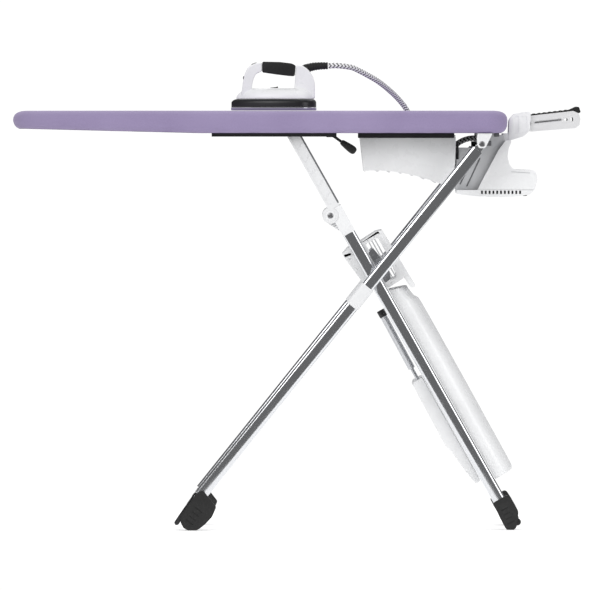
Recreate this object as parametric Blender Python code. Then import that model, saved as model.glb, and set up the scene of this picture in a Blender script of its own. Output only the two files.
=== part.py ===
"""Steam ironing board: padded board on a folding scissor frame, steam generator, tank, iron and hose.

Metres, +Z up. The origin is on the floor under the middle of the overall length.
-X is the nose of the board, +X the generator end, -Y the front side.
"""
import math

import bmesh
import bpy
from mathutils import Matrix, Vector

# ---------------------------------------------------------------- driving sizes
BOARD_LENGTH = 1.208
BOARD_WIDTH = 0.420
BOARD_TOP = 1.020          # height of the ironing surface over the floor
BOARD_DEPTH = 0.055        # side of the board at its tail
NOSE_THINNING = 0.0095     # the side of the board gets this much lower towards the nose
NOSE_TAPER = 0.420         # length over which the plan narrows to the nose
TAIL_RADIUS = 0.060
REST_REACH = 0.181         # iron rest past the tail of the board
COVER_WALL = 0.0025
PAD_WALL = 0.006
SHEET = 0.0018
HEM_IN = 0.022             # how far the lower lip of the board reaches in
GAP = 0.0003               # between pieces that touch
FIT = 0.0004               # round a pin or a shaft

# frame
LEG_A_ANGLE = math.radians(51.3)   # outer legs, over the floor
LEG_B_ANGLE = math.radians(60.6)   # inner legs
TUBE_WIDE = 0.0306
TUBE_THICK = 0.018
TUBE_WALL = 0.0015
LEG_A_Y = 0.185
LEG_B_Y = 0.150
PIVOT_IN = 0.063           # rear pivot, in from the tail
PIVOT_DROP = 0.0816        # rear pivot, under the ironing surface
CROSS_REACH = 0.418        # rear pivot to crossing
SLIDE_DROP = 0.036         # slider shaft, under the ironing surface
FOLD_RISE = 0.0054         # the slider rises this much in the middle of the fold
SLIDE_TRAVEL = 0.330
PIN_RADIUS = 0.005
BAR_RADIUS = 0.011

# iron, generator and tank
IRON_X = -0.055            # middle of the iron
IRON_HALF_WIDTH = 0.058
BODY_HALF = 0.090          # half the width of the generator's inner housing
COWL_HALF = 0.105
PLASTIC = 0.003
TANK_HALF = 0.108

# hose
HOSE_DIAMETER = 0.0135
COIL_RADIUS = 0.0675
COIL_TURNS = 3             # whole turns; the hose adds the stretch from where it joins to where it leaves

OVERALL = BOARD_LENGTH + REST_REACH
NOSE_X = -OVERALL / 2
TAIL_X = NOSE_X + BOARD_LENGTH

for old in list(bpy.data.objects):
    bpy.data.objects.remove(old)

# ---------------------------------------------------------------- materials
FINISHES = {
    "cotton": ((0.36, 0.31, 0.50), 0.85, 0.0),
    "felt": ((0.75, 0.74, 0.70), 0.95, 0.0),
    "steel": ((0.62, 0.63, 0.65), 0.35, 1.0),
    "chrome": ((0.80, 0.81, 0.83), 0.12, 1.0),
    "white_plastic": ((0.90, 0.90, 0.91), 0.35, 0.0),
    "grey_plastic": ((0.33, 0.33, 0.34), 0.50, 0.0),
    "black_plastic": ((0.02, 0.02, 0.022), 0.45, 0.0),
    "rubber": ((0.03, 0.03, 0.03), 0.75, 0.0),
    "brass": ((0.70, 0.55, 0.25), 0.35, 1.0),
    "braid": ((0.60, 0.60, 0.62), 0.80, 0.0),
}


def finish_for(name, finish):
    colour, roughness, metallic = FINISHES[finish]
    material = bpy.data.materials.new(name + "_" + finish)
    material.use_nodes = True
    shader = material.node_tree.nodes["Principled BSDF"]
    shader.inputs["Base Color"].default_value = (*colour, 1.0)
    shader.inputs["Roughness"].default_value = roughness
    shader.inputs["Metallic"].default_value = metallic
    return material


# ---------------------------------------------------------------- modelling helpers
def finish_object(name, bm, finish, parent=None):
    """Turn a bmesh into a named object with its own material, all faces pointing out."""
    bmesh.ops.recalc_face_normals(bm, faces=bm.faces)
    mesh = bpy.data.meshes.new(name)
    bm.to_mesh(mesh)
    bm.free()
    mesh.shade_smooth()
    mesh.set_sharp_from_angle(angle=math.radians(40))
    obj = bpy.data.objects.new(name, mesh)
    bpy.context.scene.collection.objects.link(obj)
    obj.data.materials.append(finish_for(name, finish))
    if parent is not None:
        bpy.context.view_layer.update()
        obj.parent = parent
        obj.matrix_parent_inverse = parent.matrix_world.inverted()
    return obj


def add_loft(bm, loops, closed=False):
    """Skin loops of equal length; the first and last are capped unless the skin closes on itself."""
    rings = [[bm.verts.new(point) for point in loop] for loop in loops]
    count = len(rings[0])
    spans = list(zip(rings, rings[1:]))
    if closed:
        spans.append((rings[-1], rings[0]))
    for low, high in spans:
        for i in range(count):
            j = (i + 1) % count
            bm.faces.new((low[i], low[j], high[j], high[i]))
    if not closed:
        bm.faces.new(rings[0])
        bm.faces.new(list(reversed(rings[-1])))


def loft(name, loops, finish, parent=None, closed=False):
    bm = bmesh.new()
    add_loft(bm, loops, closed)
    return finish_object(name, bm, finish, parent)


def add_prism(bm, outline, y0, y1):
    """A straight solid along Y whose outline is drawn in X and Z."""
    add_loft(bm, [[(x, y0, z) for x, z in outline], [(x, y1, z) for x, z in outline]])


def prism(name, outline, y0, y1, finish, parent=None):
    bm = bmesh.new()
    add_prism(bm, outline, min(y0, y1), max(y0, y1))
    return finish_object(name, bm, finish, parent)


def ring_points(centre, radius, sides=16, start=0.0):
    """Points of a circle in X and Z."""
    return [(centre[0] + radius * math.cos(start + math.tau * i / sides),
             centre[1] + radius * math.sin(start + math.tau * i / sides)) for i in range(sides)]


def box_outline(x0, x1, z0, z1):
    return [(x0, z0), (x1, z0), (x1, z1), (x0, z1)]


def cutter_from(bm):
    """A hidden solid for a Boolean, from a bmesh."""
    bmesh.ops.recalc_face_normals(bm, faces=bm.faces)
    mesh = bpy.data.meshes.new("cutter")
    bm.to_mesh(mesh)
    bm.free()
    obj = bpy.data.objects.new("cutter", mesh)
    bpy.context.scene.collection.objects.link(obj)
    obj.hide_render = True
    obj.display_type = "WIRE"
    return obj


def cutter(outline, y0, y1):
    """A hidden solid for a Boolean, drawn like a prism."""
    bm = bmesh.new()
    add_prism(bm, outline, y0, y1)
    return cutter_from(bm)


def boolean(obj, other, operation):
    modifier = obj.modifiers.new(operation.lower(), "BOOLEAN")
    modifier.operation = operation
    modifier.object = other


def cut(obj, outline, y0, y1):
    boolean(obj, cutter(outline, y0, y1), "DIFFERENCE")


def join(obj, outline, y0, y1):
    boolean(obj, cutter(outline, y0, y1), "UNION")


def rod_loop(centre, axis, up, radius, sides=14):
    """A circle round centre, square to axis."""
    side = axis.cross(up).normalized()
    rise = side.cross(axis).normalized()
    return [centre + side * (radius * math.cos(math.tau * i / sides))
            + rise * (radius * math.sin(math.tau * i / sides)) for i in range(sides)]


def rod(name, start, end, radius, finish, parent=None, sides=14):
    """A round bar."""
    start = Vector(start)
    end = Vector(end)
    axis = (end - start).normalized()
    up = Vector((0, 0, 1)) if abs(axis.z) < 0.9 else Vector((1, 0, 0))
    return loft(name, [rod_loop(start, axis, up, radius, sides), rod_loop(end, axis, up, radius, sides)],
                finish, parent)


def empty_at(name, position):
    obj = bpy.data.objects.new(name, None)
    bpy.context.scene.collection.objects.link(obj)
    obj.location = position
    bpy.context.view_layer.update()
    return obj


def near_board(x, z):
    """A place given from the tail edge and the ironing surface."""
    return (TAIL_X + x, BOARD_TOP + z)


def board_outline_points(points):
    return [near_board(x, z) for x, z in points]


# ---------------------------------------------------------------- linkage
PIVOT = (TAIL_X - PIVOT_IN, BOARD_TOP - PIVOT_DROP)
DIR_A = (-math.cos(LEG_A_ANGLE), -math.sin(LEG_A_ANGLE))       # rear pivot towards foot A
DIR_B = (math.cos(LEG_B_ANGLE), -math.sin(LEG_B_ANGLE))        # crossing towards foot B
CROSS = (PIVOT[0] + CROSS_REACH * DIR_A[0], PIVOT[1] + CROSS_REACH * DIR_A[1])
SLIDE_Z = BOARD_TOP - SLIDE_DROP
SLIDE = (CROSS[0] - (SLIDE_Z - CROSS[1]) / math.tan(LEG_B_ANGLE), SLIDE_Z)
NORMAL_A = (-DIR_A[1], DIR_A[0])   # from leg A towards the nose and up
NORMAL_B = (-DIR_B[1], DIR_B[0])   # from leg B towards the tail and up


def on_a(s, n=0.0):
    """s down leg A from the crossing, n across it; n > 0 is the upper side."""
    return (CROSS[0] + s * DIR_A[0] - n * NORMAL_A[0], CROSS[1] + s * DIR_A[1] - n * NORMAL_A[1])


def on_b(s, n=0.0):
    """s down leg B from the crossing, n across it; n > 0 is the tail side."""
    return (CROSS[0] + s * DIR_B[0] + n * NORMAL_B[0], CROSS[1] + s * DIR_B[1] + n * NORMAL_B[1])


board_empty = empty_at("board_origin", (0, 0, 0))
leg_a_empty = empty_at("leg_a_axis", (PIVOT[0], 0, PIVOT[1]))
leg_b_empty = empty_at("leg_b_axis", (CROSS[0], 0, CROSS[1]))
slide_empty = empty_at("carriage_axis", (SLIDE[0], 0, SLIDE[1]))

SIDES = (("front", -1), ("back", 1))


# ---------------------------------------------------------------- the padded board
def plan(inset, nose_points=11, corner_points=4):
    """The board seen from above, drawn in by inset; runs round from the tail's back corner."""
    half = BOARD_WIDTH / 2
    points = []
    for i in range(corner_points + 1):
        a = math.pi / 2 * i / corner_points
        points.append((TAIL_X - TAIL_RADIUS + (TAIL_RADIUS - inset) * math.cos(a),
                       half - TAIL_RADIUS + (TAIL_RADIUS - inset) * math.sin(a)))
    straight_end = NOSE_X + NOSE_TAPER
    points.append(((TAIL_X - TAIL_RADIUS) * 0.5 + straight_end * 0.5, half - inset))
    for i in range(nose_points + 1):
        a = math.pi / 2 * i / nose_points
        points.append((straight_end - (NOSE_TAPER - inset) * math.sin(a), (half - inset) * math.cos(a)))
    mirrored = [(x, -y) for x, y in reversed(points[:-1])]
    return points + mirrored


def depth_at(x):
    """Height of the board's side, lower towards the nose."""
    start = NOSE_X + 0.46
    end = NOSE_X + 0.07
    share = min(max((start - x) / (start - end), 0.0), 1.1)
    return BOARD_DEPTH - NOSE_THINNING * share


def board_loop(inset, drop, from_below=False):
    """A level loop of the board: drop under the top, or rise over the lower edge."""
    loop = []
    for x, y in plan(inset):
        z = BOARD_TOP - depth_at(x) + drop if from_below else BOARD_TOP - drop
        loop.append((x, y, z))
    return loop


def board_cover():
    """Fitted cotton cover: over the top, down the sides and under the lower edge to an elastic hem."""
    wall = COVER_WALL
    loft("board_cover", [
        board_loop(0.015, 0.0), board_loop(0.005, 0.0035), board_loop(0.0, 0.013),
        board_loop(0.0, 0.014, True), board_loop(0.0045, 0.0035, True), board_loop(0.014, 0.0, True),
        board_loop(0.020, 0.0, True), board_loop(0.020, wall, True), board_loop(0.0145, wall, True),
        board_loop(0.0065, 0.006, True), board_loop(wall, 0.0145, True),
        board_loop(wall, 0.014), board_loop(0.0065, 0.006), board_loop(0.0155, wall),
    ], "cotton", board_empty)


def board_pad():
    """Felt pad between the cover and the steel deck."""
    top = COVER_WALL + GAP
    loft("board_pad", [board_loop(0.017, top), board_loop(0.0095, top + 0.0035),
                       board_loop(0.0095, top + PAD_WALL)], "felt", board_empty)


DECK_TOP = COVER_WALL + PAD_WALL + 2 * GAP
DECK_UNDER = DECK_TOP + SHEET


def board_deck():
    """Pressed steel tray, open below, that carries everything."""
    rise = COVER_WALL + GAP * 2
    loft("board_deck", [
        board_loop(0.011, DECK_TOP), board_loop(0.0036, 0.0155),
        board_loop(0.0036, 0.0165, True), board_loop(0.0095, 0.0076, True), board_loop(0.0155, rise, True),
        board_loop(HEM_IN, rise, True), board_loop(HEM_IN, rise + SHEET, True),
        board_loop(0.0165, rise + SHEET, True), board_loop(0.0110, 0.0090, True),
        board_loop(0.0054, 0.0172, True), board_loop(0.0054, 0.0160),
        board_loop(0.0118, DECK_UNDER),
    ], "steel", board_empty)


# ---------------------------------------------------------------- slide rails, carriage, height lever
RAIL_IN = 0.1626
RAIL_OUT = 0.1780
SLIDER_HALF = 0.006
SLOT_LOW = SLIDE_Z - SLIDER_HALF - GAP
SLOT_HIGH = SLIDE_Z + SLIDER_HALF + FOLD_RISE
RAIL_START = SLIDE[0] - SLIDE_TRAVEL - 0.026
RAIL_END = SLIDE[0] + 0.118
STRIP_START = SLIDE[0] - 0.186

LEVER_ROOT = near_board(-0.4345, -0.0540)
LEVER_Y = -0.135
LEVER_PIN = 0.0025
LEVER_SLOPE = math.atan2(-0.0470, 0.0647)


def slide_track():
    """C rails, open to the middle, with a lip below them and a cross plate that holds the lever."""
    top = BOARD_TOP - DECK_UNDER - GAP
    plate_low = SLOT_HIGH + SHEET + 0.0040
    bm = bmesh.new()
    half = RAIL_OUT - SHEET / 2
    add_loft(bm, [[(x, -half, plate_low), (x, half, plate_low), (x, half, top), (x, -half, top)]
                  for x in (RAIL_END - 0.038, RAIL_END + 0.004)])
    obj = finish_object("slide_track", bm, "black_plastic", board_empty)
    for _, sign in SIDES:
        section = [(RAIL_OUT, SLOT_LOW - SHEET), (RAIL_OUT, top), (RAIL_OUT - SHEET, top),
                   (RAIL_OUT - SHEET, SLOT_HIGH + SHEET), (RAIL_IN, SLOT_HIGH + SHEET),
                   (RAIL_IN, SLOT_HIGH), (RAIL_OUT - SHEET, SLOT_HIGH),
                   (RAIL_OUT - SHEET, SLOT_LOW), (RAIL_IN, SLOT_LOW), (RAIL_IN, SLOT_LOW - SHEET)]
        boolean(obj, bar_cutter([(sign * y, z) for y, z in section], RAIL_START, RAIL_END), "UNION")
        lip_low = BOARD_TOP - BOARD_DEPTH - 0.0085
        lip = [(RAIL_IN + GAP, lip_low), (RAIL_OUT - GAP, lip_low), (RAIL_OUT - GAP, SLOT_LOW - SHEET / 2),
               (RAIL_IN + GAP, SLOT_LOW - SHEET / 2)]
        boolean(obj, bar_cutter([(sign * y, z) for y, z in lip], STRIP_START, RAIL_END - GAP), "UNION")
    x, z = LEVER_ROOT
    clevis = [(x - 0.012, plate_low + 0.001), (x - 0.012, z - 0.006), (x - 0.005, z - 0.011),
              (x + 0.005, z - 0.011), (x + 0.012, z - 0.006), (x + 0.012, plate_low + 0.001)]
    join(obj, clevis, LEVER_Y - 0.010, LEVER_Y + 0.010)
    cut(obj, box_outline(x - 0.03, x + 0.03, z - 0.03, z + 0.0135), LEVER_Y - 0.0052, LEVER_Y + 0.0052)
    join(obj, ring_points(LEVER_ROOT, LEVER_PIN, 12), LEVER_Y - 0.008, LEVER_Y + 0.008)


def bar_cutter(section, x0, x1):
    """A hidden solid along X whose section is drawn in Y and Z."""
    bm = bmesh.new()
    add_loft(bm, [[(x0, y, z) for y, z in section], [(x1, y, z) for y, z in section]])
    return cutter_from(bm)


def carriage():
    """Two nylon sliders on one cross bar; the slider shaft of the inner legs turns in them."""
    bar_far = SLIDE[0] - 0.034
    bar_near = SLIDE[0] - 0.019
    obj = prism("slide_carriage", box_outline(bar_far, bar_near, SLIDE_Z - SLIDER_HALF, SLIDE_Z + SLIDER_HALF),
                -0.1640, 0.1640, "black_plastic", slide_empty)
    block = box_outline(bar_far, SLIDE[0] + 0.012, SLIDE_Z - SLIDER_HALF, SLIDE_Z + SLIDER_HALF)
    for _, sign in SIDES:
        ends = sorted((sign * (RAIL_IN + GAP), sign * (RAIL_OUT - SHEET - 2 * GAP)))
        join(obj, block, *ends)
    for _, sign in SIDES:
        ends = sorted((sign * 0.155, sign * 0.1745))
        cut(obj, ring_points(SLIDE, PIN_RADIUS + FIT, 16), *ends)


def height_lever():
    """Release lever of the height lock: a steel arm on the pin of the clevis, with a moulded grip."""
    hub = 0.0085
    along = (math.cos(LEVER_SLOPE), math.sin(LEVER_SLOPE))
    across = (-along[1], along[0])
    grip_start = 0.0380

    def place(s, n):
        return (LEVER_ROOT[0] + s * along[0] + n * across[0], LEVER_ROOT[1] + s * along[1] + n * across[1])

    arm = prism("lever_arm", [place(0.0, hub), place(-0.0065, 0.0055), place(-hub, 0.0), place(-0.0065, -0.0055),
                              place(0.0, -hub), place(0.010, -0.0035), place(grip_start + 0.012, -0.0035),
                              place(grip_start + 0.012, 0.0035), place(0.010, 0.0035)],
                LEVER_Y - 0.0045, LEVER_Y + 0.0045, "steel", lever_empty)
    cut(arm, ring_points(LEVER_ROOT, LEVER_PIN + FIT, 12), LEVER_Y - 0.02, LEVER_Y + 0.02)
    loops = []
    for s, radius in ((0.0, 0.0058), (0.004, 0.0072), (0.015, 0.0086), (0.030, 0.0100), (0.038, 0.0092),
                      (0.042, 0.0055)):
        x, z = place(grip_start + s, 0.0)
        loops.append(rod_loop(Vector((x, LEVER_Y, z)), Vector((along[0], 0, along[1])), Vector((0, 1, 0)),
                              radius, 14))
    grip = loft("lever_grip", loops, "black_plastic", lever_empty)
    half = 0.0035 + GAP
    pocket = [place(grip_start - 0.004, -half), place(grip_start + 0.0125, -half),
              place(grip_start + 0.0125, half), place(grip_start - 0.004, half)]
    cut(grip, pocket, LEVER_Y - 0.0045 - GAP, LEVER_Y + 0.0045 + GAP)


lever_empty = empty_at("height_lever_axis", (LEVER_ROOT[0], LEVER_Y, LEVER_ROOT[1]))


# ---------------------------------------------------------------- legs
def oval(wide, thick, sides=20):
    """Outline of a flat-oval tube: wide across the leg, thick along Y."""
    points = []
    for i in range(sides):
        a = math.tau * i / sides
        n = wide / 2 * math.copysign(abs(math.cos(a)) ** 0.75, math.cos(a))
        y = thick / 2 * math.copysign(abs(math.sin(a)) ** 0.75, math.sin(a))
        points.append((n, y))
    return points


def leg_loop(place, s, y, shape):
    loop = []
    for n, dy in shape:
        x, z = place(s, n)
        loop.append((x, y + dy, z))
    return loop


def oval_tube(name, place, s0, s1, y, finish, parent, wide=TUBE_WIDE, thick=TUBE_THICK, wall=TUBE_WALL):
    """An open flat-oval tube along a leg."""
    outer = oval(wide, thick)
    inner = oval(wide - 2 * wall, thick - 2 * wall)
    return loft(name, [leg_loop(place, s0, y, outer), leg_loop(place, s1, y, outer),
                       leg_loop(place, s1, y, inner), leg_loop(place, s0, y, inner)],
                finish, parent, closed=True)


FOOT_A_Z = 0.0760
FOOT_A_S = (CROSS[1] - FOOT_A_Z) / math.sin(LEG_A_ANGLE)       # foot bar A, down the leg
FOOT_A = on_a(FOOT_A_S)
FOOT_B_Z = 0.0560
FOOT_B_S = (CROSS[1] - FOOT_B_Z) / math.sin(LEG_B_ANGLE)
FOOT_B = on_b(FOOT_B_S)
BOOT_HALF = 0.0185
ROLLER_PIN = 0.003
LEG_TOP_GAP = 0.0175
SLEEVE_A = (0.026, 0.087)


def legs_a():
    """Outer pair: chrome tubes with a welded pivot tongue, and a white sleeve under the crossing."""
    for side, sign in SIDES:
        y = sign * LEG_A_Y
        tube = oval_tube("leg_a_tube_" + side, on_a, -CROSS_REACH + LEG_TOP_GAP, FOOT_A_S - 0.010, y,
                         "chrome", leg_a_empty)
        cut(tube, ring_points(CROSS, PIN_RADIUS + FIT), y - 0.02, y + 0.02)
        thick = TUBE_THICK + 2 * 0.0022
        oval_tube("leg_a_sleeve_" + side, on_a, SLEEVE_A[0], SLEEVE_A[1], y, "white_plastic", leg_a_empty,
                  TUBE_WIDE + 2 * 0.0022, thick, 0.0022 - GAP)
        tongue = [on_a(-CROSS_REACH + 0.050, -0.0150), on_a(-CROSS_REACH + 0.050, 0.0150),
                  on_a(-CROSS_REACH + 0.012, 0.0095), on_a(-CROSS_REACH - 0.005, 0.0085),
                  on_a(-CROSS_REACH - 0.010, 0.0), on_a(-CROSS_REACH - 0.005, -0.0085),
                  on_a(-CROSS_REACH + 0.012, -0.0095)]
        join(tube, tongue, y - 0.0045, y + 0.0045)
        cut(tube, ring_points(PIVOT, PIN_RADIUS + FIT), y - 0.02, y + 0.02)


def feet_a():
    """Black boots of the outer legs with their bar and the release pedal on it."""
    ground = FOOT_A[0] - 0.0137
    shape = [(0.0590, 0.0560), (0.049, 0.0331), (0.0319, 0.0147), (0.0190, 0.0045), (0.0110, 0.0),
             (-0.0098, 0.0), (-0.0208, 0.0061), (-0.0279, 0.0196), (-0.0257, 0.0343), (-0.0147, 0.0527),
             (0.000, 0.0735), (0.0098, 0.0882), (0.0260, 0.0985)]
    for side, sign in SIDES:
        y = sign * LEG_A_Y
        boot = prism("boot_a_" + side, [(ground + x, z) for x, z in shape], y - BOOT_HALF, y + BOOT_HALF,
                     "rubber", leg_a_empty)
        pocket = oval(TUBE_WIDE + 2 * GAP, TUBE_THICK + 2 * GAP)
        hole = bmesh.new()
        add_loft(hole, [leg_loop(on_a, FOOT_A_S - 0.0097, y, pocket), leg_loop(on_a, FOOT_A_S - 0.09, y, pocket)])
        boolean(boot, cutter_from(hole), "DIFFERENCE")
        inner = sorted((y - sign * BOOT_HALF * 1.2, y - sign * 0.010))
        cut(boot, ring_points(FOOT_A, BAR_RADIUS + GAP), *inner)
    end = LEG_A_Y - 0.010 - GAP
    rod("foot_bar_a", (FOOT_A[0], -end, FOOT_A[1]), (FOOT_A[0], end, FOOT_A[1]), BAR_RADIUS, "chrome",
        leg_a_empty, 18)
    hub = 0.0155
    pedal = [(FOOT_A[0] + hub * math.cos(a), FOOT_A[1] + hub * math.sin(a))
             for a in [math.radians(-60 + 24 * i) for i in range(11)]]
    pedal += [(ground - 0.0196, 0.0535), (ground - 0.0441, 0.0172), (ground - 0.0400, 0.0110),
              (ground - 0.0340, 0.0120), (ground - 0.0120, 0.0420)]
    obj = prism("foot_pedal", pedal, -LEG_A_Y + BOOT_HALF + 0.0008, -LEG_A_Y + BOOT_HALF + 0.0308,
                "black_plastic", pedal_empty)
    cut(obj, ring_points(FOOT_A, BAR_RADIUS + FIT, 18), -0.2, -0.1)


pedal_empty = empty_at("pedal_axis", (FOOT_A[0], -0.15, FOOT_A[1]))

BRACKET_Y = (0.1700, 0.2000)


def pivot_brackets():
    """White brackets under the tail of the board; each holds one outer leg on its moulded-in pin."""
    top = BOARD_TOP - DECK_UNDER - GAP
    for side, sign in SIDES:
        shape = [(PIVOT[0] - 0.010, top), (PIVOT[0] - 0.0125, PIVOT[1] + 0.014),
                 (PIVOT[0] - 0.0100, PIVOT[1] - 0.006), (PIVOT[0], PIVOT[1] - 0.0105),
                 (PIVOT[0] + 0.0090, PIVOT[1] - 0.006), (PIVOT[0] + 0.0240, PIVOT[1] + 0.0230),
                 (PIVOT[0] + 0.0240, top)]
        ends = sorted((sign * BRACKET_Y[0], sign * BRACKET_Y[1]))
        neck = sorted((sign * BRACKET_Y[0], sign * (BOARD_WIDTH / 2 - HEM_IN - 0.0076)))
        obj = prism("pivot_bracket_" + side, shape, neck[0], neck[1], "white_plastic", board_empty)
        below = BOARD_TOP - BOARD_DEPTH - 0.0008
        cheeks = [(x, min(z, below)) for x, z in shape]
        join(obj, cheeks, *ends)
        slot = sorted((sign * (LEG_A_Y - 0.0098), sign * (LEG_A_Y + 0.0098)))
        cut(obj, box_outline(PIVOT[0] - 0.05, PIVOT[0] + 0.05, PIVOT[1] - 0.05, PIVOT[1] + 0.0190), *slot)
        join(obj, ring_points(PIVOT, PIN_RADIUS), ends[0] + 0.002, ends[1] - 0.002)


KNEE_S = -0.1847            # knee, up leg B from the crossing
KNEE_OFF = -0.0183          # and towards the nose
KNEE = on_b(KNEE_S, KNEE_OFF)
KNEE_RADIUS = 0.0200
KNEE_PIN = 0.004
STRUT_CUT = KNEE_S - 0.012
SLEEVE_END = -0.125
TUBE_B_TOP = -0.160
STRUT_HALF = 0.0155
STRUT_THICK = 0.019
SLIDE_S = -(SLIDE_Z - CROSS[1]) / math.sin(LEG_B_ANGLE)


def strut_outline():
    """Upper strut in the side view: round at the slider shaft, square at the knee."""
    points = [on_b(STRUT_CUT, -STRUT_HALF), on_b(STRUT_CUT, STRUT_HALF)]
    for i in range(9):
        a = math.pi * i / 8
        points.append(on_b(SLIDE_S - STRUT_HALF * math.sin(a), STRUT_HALF * math.cos(a)))
    return points


def legs_b():
    """Inner pair: strut, locked knee, white top sleeve and chrome tube down to the rear boots."""
    for side, sign in SIDES:
        y = sign * LEG_B_Y
        outer = y + sign * STRUT_THICK / 2
        inner = y - sign * STRUT_THICK / 2
        lobe = ring_points(KNEE, KNEE_RADIUS - 0.0005, 24)
        pocket = ring_points(KNEE, KNEE_RADIUS, 24)
        tube = oval_tube("leg_b_tube_" + side, on_b, TUBE_B_TOP, FOOT_B_S - 0.012, y, "chrome", leg_b_empty)
        cut(tube, ring_points(CROSS, PIN_RADIUS + FIT), y - 0.02, y + 0.02)
        strut = prism("strut_" + side, strut_outline(), y - STRUT_THICK / 2, y + STRUT_THICK / 2,
                      "white_plastic", leg_b_empty)
        join(strut, lobe, *sorted((y + sign * GAP, outer)))
        cut(strut, pocket, *sorted((y, inner - sign * 0.01)))
        cut(strut, ring_points(SLIDE, PIN_RADIUS + GAP), y - 0.02, y + 0.02)
        cut(strut, ring_points(KNEE, KNEE_PIN + GAP), y - 0.02, y + 0.02)
        sleeve_shape = [on_b(STRUT_CUT + GAP, -STRUT_HALF - 0.001), on_b(STRUT_CUT + GAP, STRUT_HALF + 0.001),
                        on_b(SLEEVE_END, STRUT_HALF + 0.001), on_b(SLEEVE_END, -STRUT_HALF - 0.001)]
        sleeve = prism("top_sleeve_" + side, sleeve_shape, y - STRUT_THICK / 2 - 0.001, y + STRUT_THICK / 2 + 0.001,
                       "white_plastic", leg_b_empty)
        join(sleeve, lobe, *sorted((y - sign * GAP, inner)))
        cut(sleeve, pocket, *sorted((y, outer + sign * 0.01)))
        cut(sleeve, ring_points(KNEE, KNEE_PIN + GAP), y - 0.02, y + 0.02)
        hole = bmesh.new()
        socket = oval(TUBE_WIDE + 2 * GAP, TUBE_THICK + 2 * GAP)
        add_loft(hole, [leg_loop(on_b, TUBE_B_TOP - GAP, y, socket), leg_loop(on_b, SLEEVE_END + 0.02, y, socket)])
        boolean(sleeve, cutter_from(hole), "DIFFERENCE")
    for name, centre, end, radius in (("slider_shaft", SLIDE, RAIL_OUT - SHEET - 0.0035, PIN_RADIUS),
                                      ("knee_axle", KNEE, LEG_B_Y + STRUT_THICK / 2 + 0.0025, KNEE_PIN),
                                      ("cross_axle", CROSS, LEG_A_Y + TUBE_THICK / 2 + 0.002, PIN_RADIUS)):
        rod(name, (centre[0], -end, centre[1]), (centre[0], end, centre[1]), radius, "steel", leg_b_empty, 16)


def feet_b():
    """Black boots of the inner legs, their bar, and a transport roller beside each boot."""
    ground = FOOT_B[0] + 0.0170
    shape = [(-0.0430, 0.0640), (-0.0287, 0.0392), (-0.0176, 0.0157), (-0.0115, 0.0049), (-0.0078, 0.0),
             (0.0093, 0.0), (0.0154, 0.0054), (0.0191, 0.027), (0.0203, 0.0453), (0.0093, 0.0662),
             (-0.0040, 0.0860)]
    axle = (ground + 0.0186, 0.0175)
    for side, sign in SIDES:
        y = sign * LEG_B_Y
        boot = prism("boot_b_" + side, [(ground + x, z) for x, z in shape], y - BOOT_HALF, y + BOOT_HALF,
                     "rubber", leg_b_empty)
        hole = bmesh.new()
        pocket = oval(TUBE_WIDE + 2 * GAP, TUBE_THICK + 2 * GAP)
        add_loft(hole, [leg_loop(on_b, FOOT_B_S - 0.0117, y, pocket), leg_loop(on_b, FOOT_B_S - 0.09, y, pocket)])
        boolean(boot, cutter_from(hole), "DIFFERENCE")
        cut(boot, ring_points(FOOT_B, BAR_RADIUS + GAP), *sorted((y - sign * BOOT_HALF * 1.2, y - sign * 0.008)))
        cheek = [(ground, 0.008), (axle[0], 0.0105), (axle[0] + 0.0065, 0.0175), (axle[0], 0.0245), (ground, 0.034)]
        join(boot, cheek, *sorted((y - sign * (BOOT_HALF + 0.003), y - sign * (BOOT_HALF - 0.006))))
        join(boot, ring_points(axle, ROLLER_PIN, 12), *sorted((y - sign * (BOOT_HALF + 0.0175), y - sign * 0.0140)))
        edge = y - sign * (BOOT_HALF + 0.0036)
        far = y - sign * (BOOT_HALF + 0.0155)
        wheel = prism("roller_" + side, ring_points(axle, 0.0090, 20), *sorted((edge, far)),
                      finish="rubber", parent=empty_at("roller_axis_" + side, (axle[0], edge, axle[1])))
        cut(wheel, ring_points(axle, ROLLER_PIN + FIT, 12), -0.2, 0.2)
    end = LEG_B_Y - 0.008 - GAP
    rod("foot_bar_b", (FOOT_B[0], -end, FOOT_B[1]), (FOOT_B[0], end, FOOT_B[1]), BAR_RADIUS, "chrome",
        leg_b_empty, 18)


TUBE_IN = LEG_B_Y - TUBE_THICK / 2 - GAP      # inner face of the inner legs


def bracket_loop(points):
    return [on_b(s, n) for s, n in points]


def crossing_bracket():
    """Bracket round the crossing: two side plates with a window, and a rim that joins them."""
    plate = bracket_loop([(-0.095, -0.0200), (-0.088, -0.0400), (-0.076, -0.0390), (-0.006, -0.0300),
                          (-0.004, -0.0180), (0.038, 0.0180), (0.036, 0.0560), (0.034, 0.0650), (-0.097, 0.0650), (-0.094, 0.0200)])
    window = bracket_loop([(-0.082, 0.0225), (-0.082, 0.0560), (-0.020, 0.0560), (0.026, 0.0500), (0.022, 0.0225)])
    strip = bracket_loop([(-0.0960, 0.0600), (-0.0930, 0.0745), (0.064, 0.0790), (0.067, 0.0760), (0.064, 0.0660),
                          (0.034, 0.0620), (-0.0890, 0.0620), (-0.0890, 0.0175), (-0.0920, 0.0175)])
    tie = bracket_loop([(-0.086, -0.0375), (-0.082, -0.0200), (-0.076, -0.0200), (-0.078, -0.0375)])
    obj = prism("crossing_bracket", strip, -TUBE_IN, TUBE_IN, "white_plastic", leg_b_empty)
    for _, sign in SIDES:
        ends = sorted((sign * TUBE_IN, sign * (TUBE_IN - 0.004)))
        join(obj, plate, *ends)
    join(obj, tie, -TUBE_IN, TUBE_IN)
    cut(obj, window, -TUBE_IN - 0.01, TUBE_IN + 0.01)
    cut(obj, ring_points(CROSS, PIN_RADIUS + GAP), -TUBE_IN - 0.01, TUBE_IN + 0.01)


POCKET_END = 0.572


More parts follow.
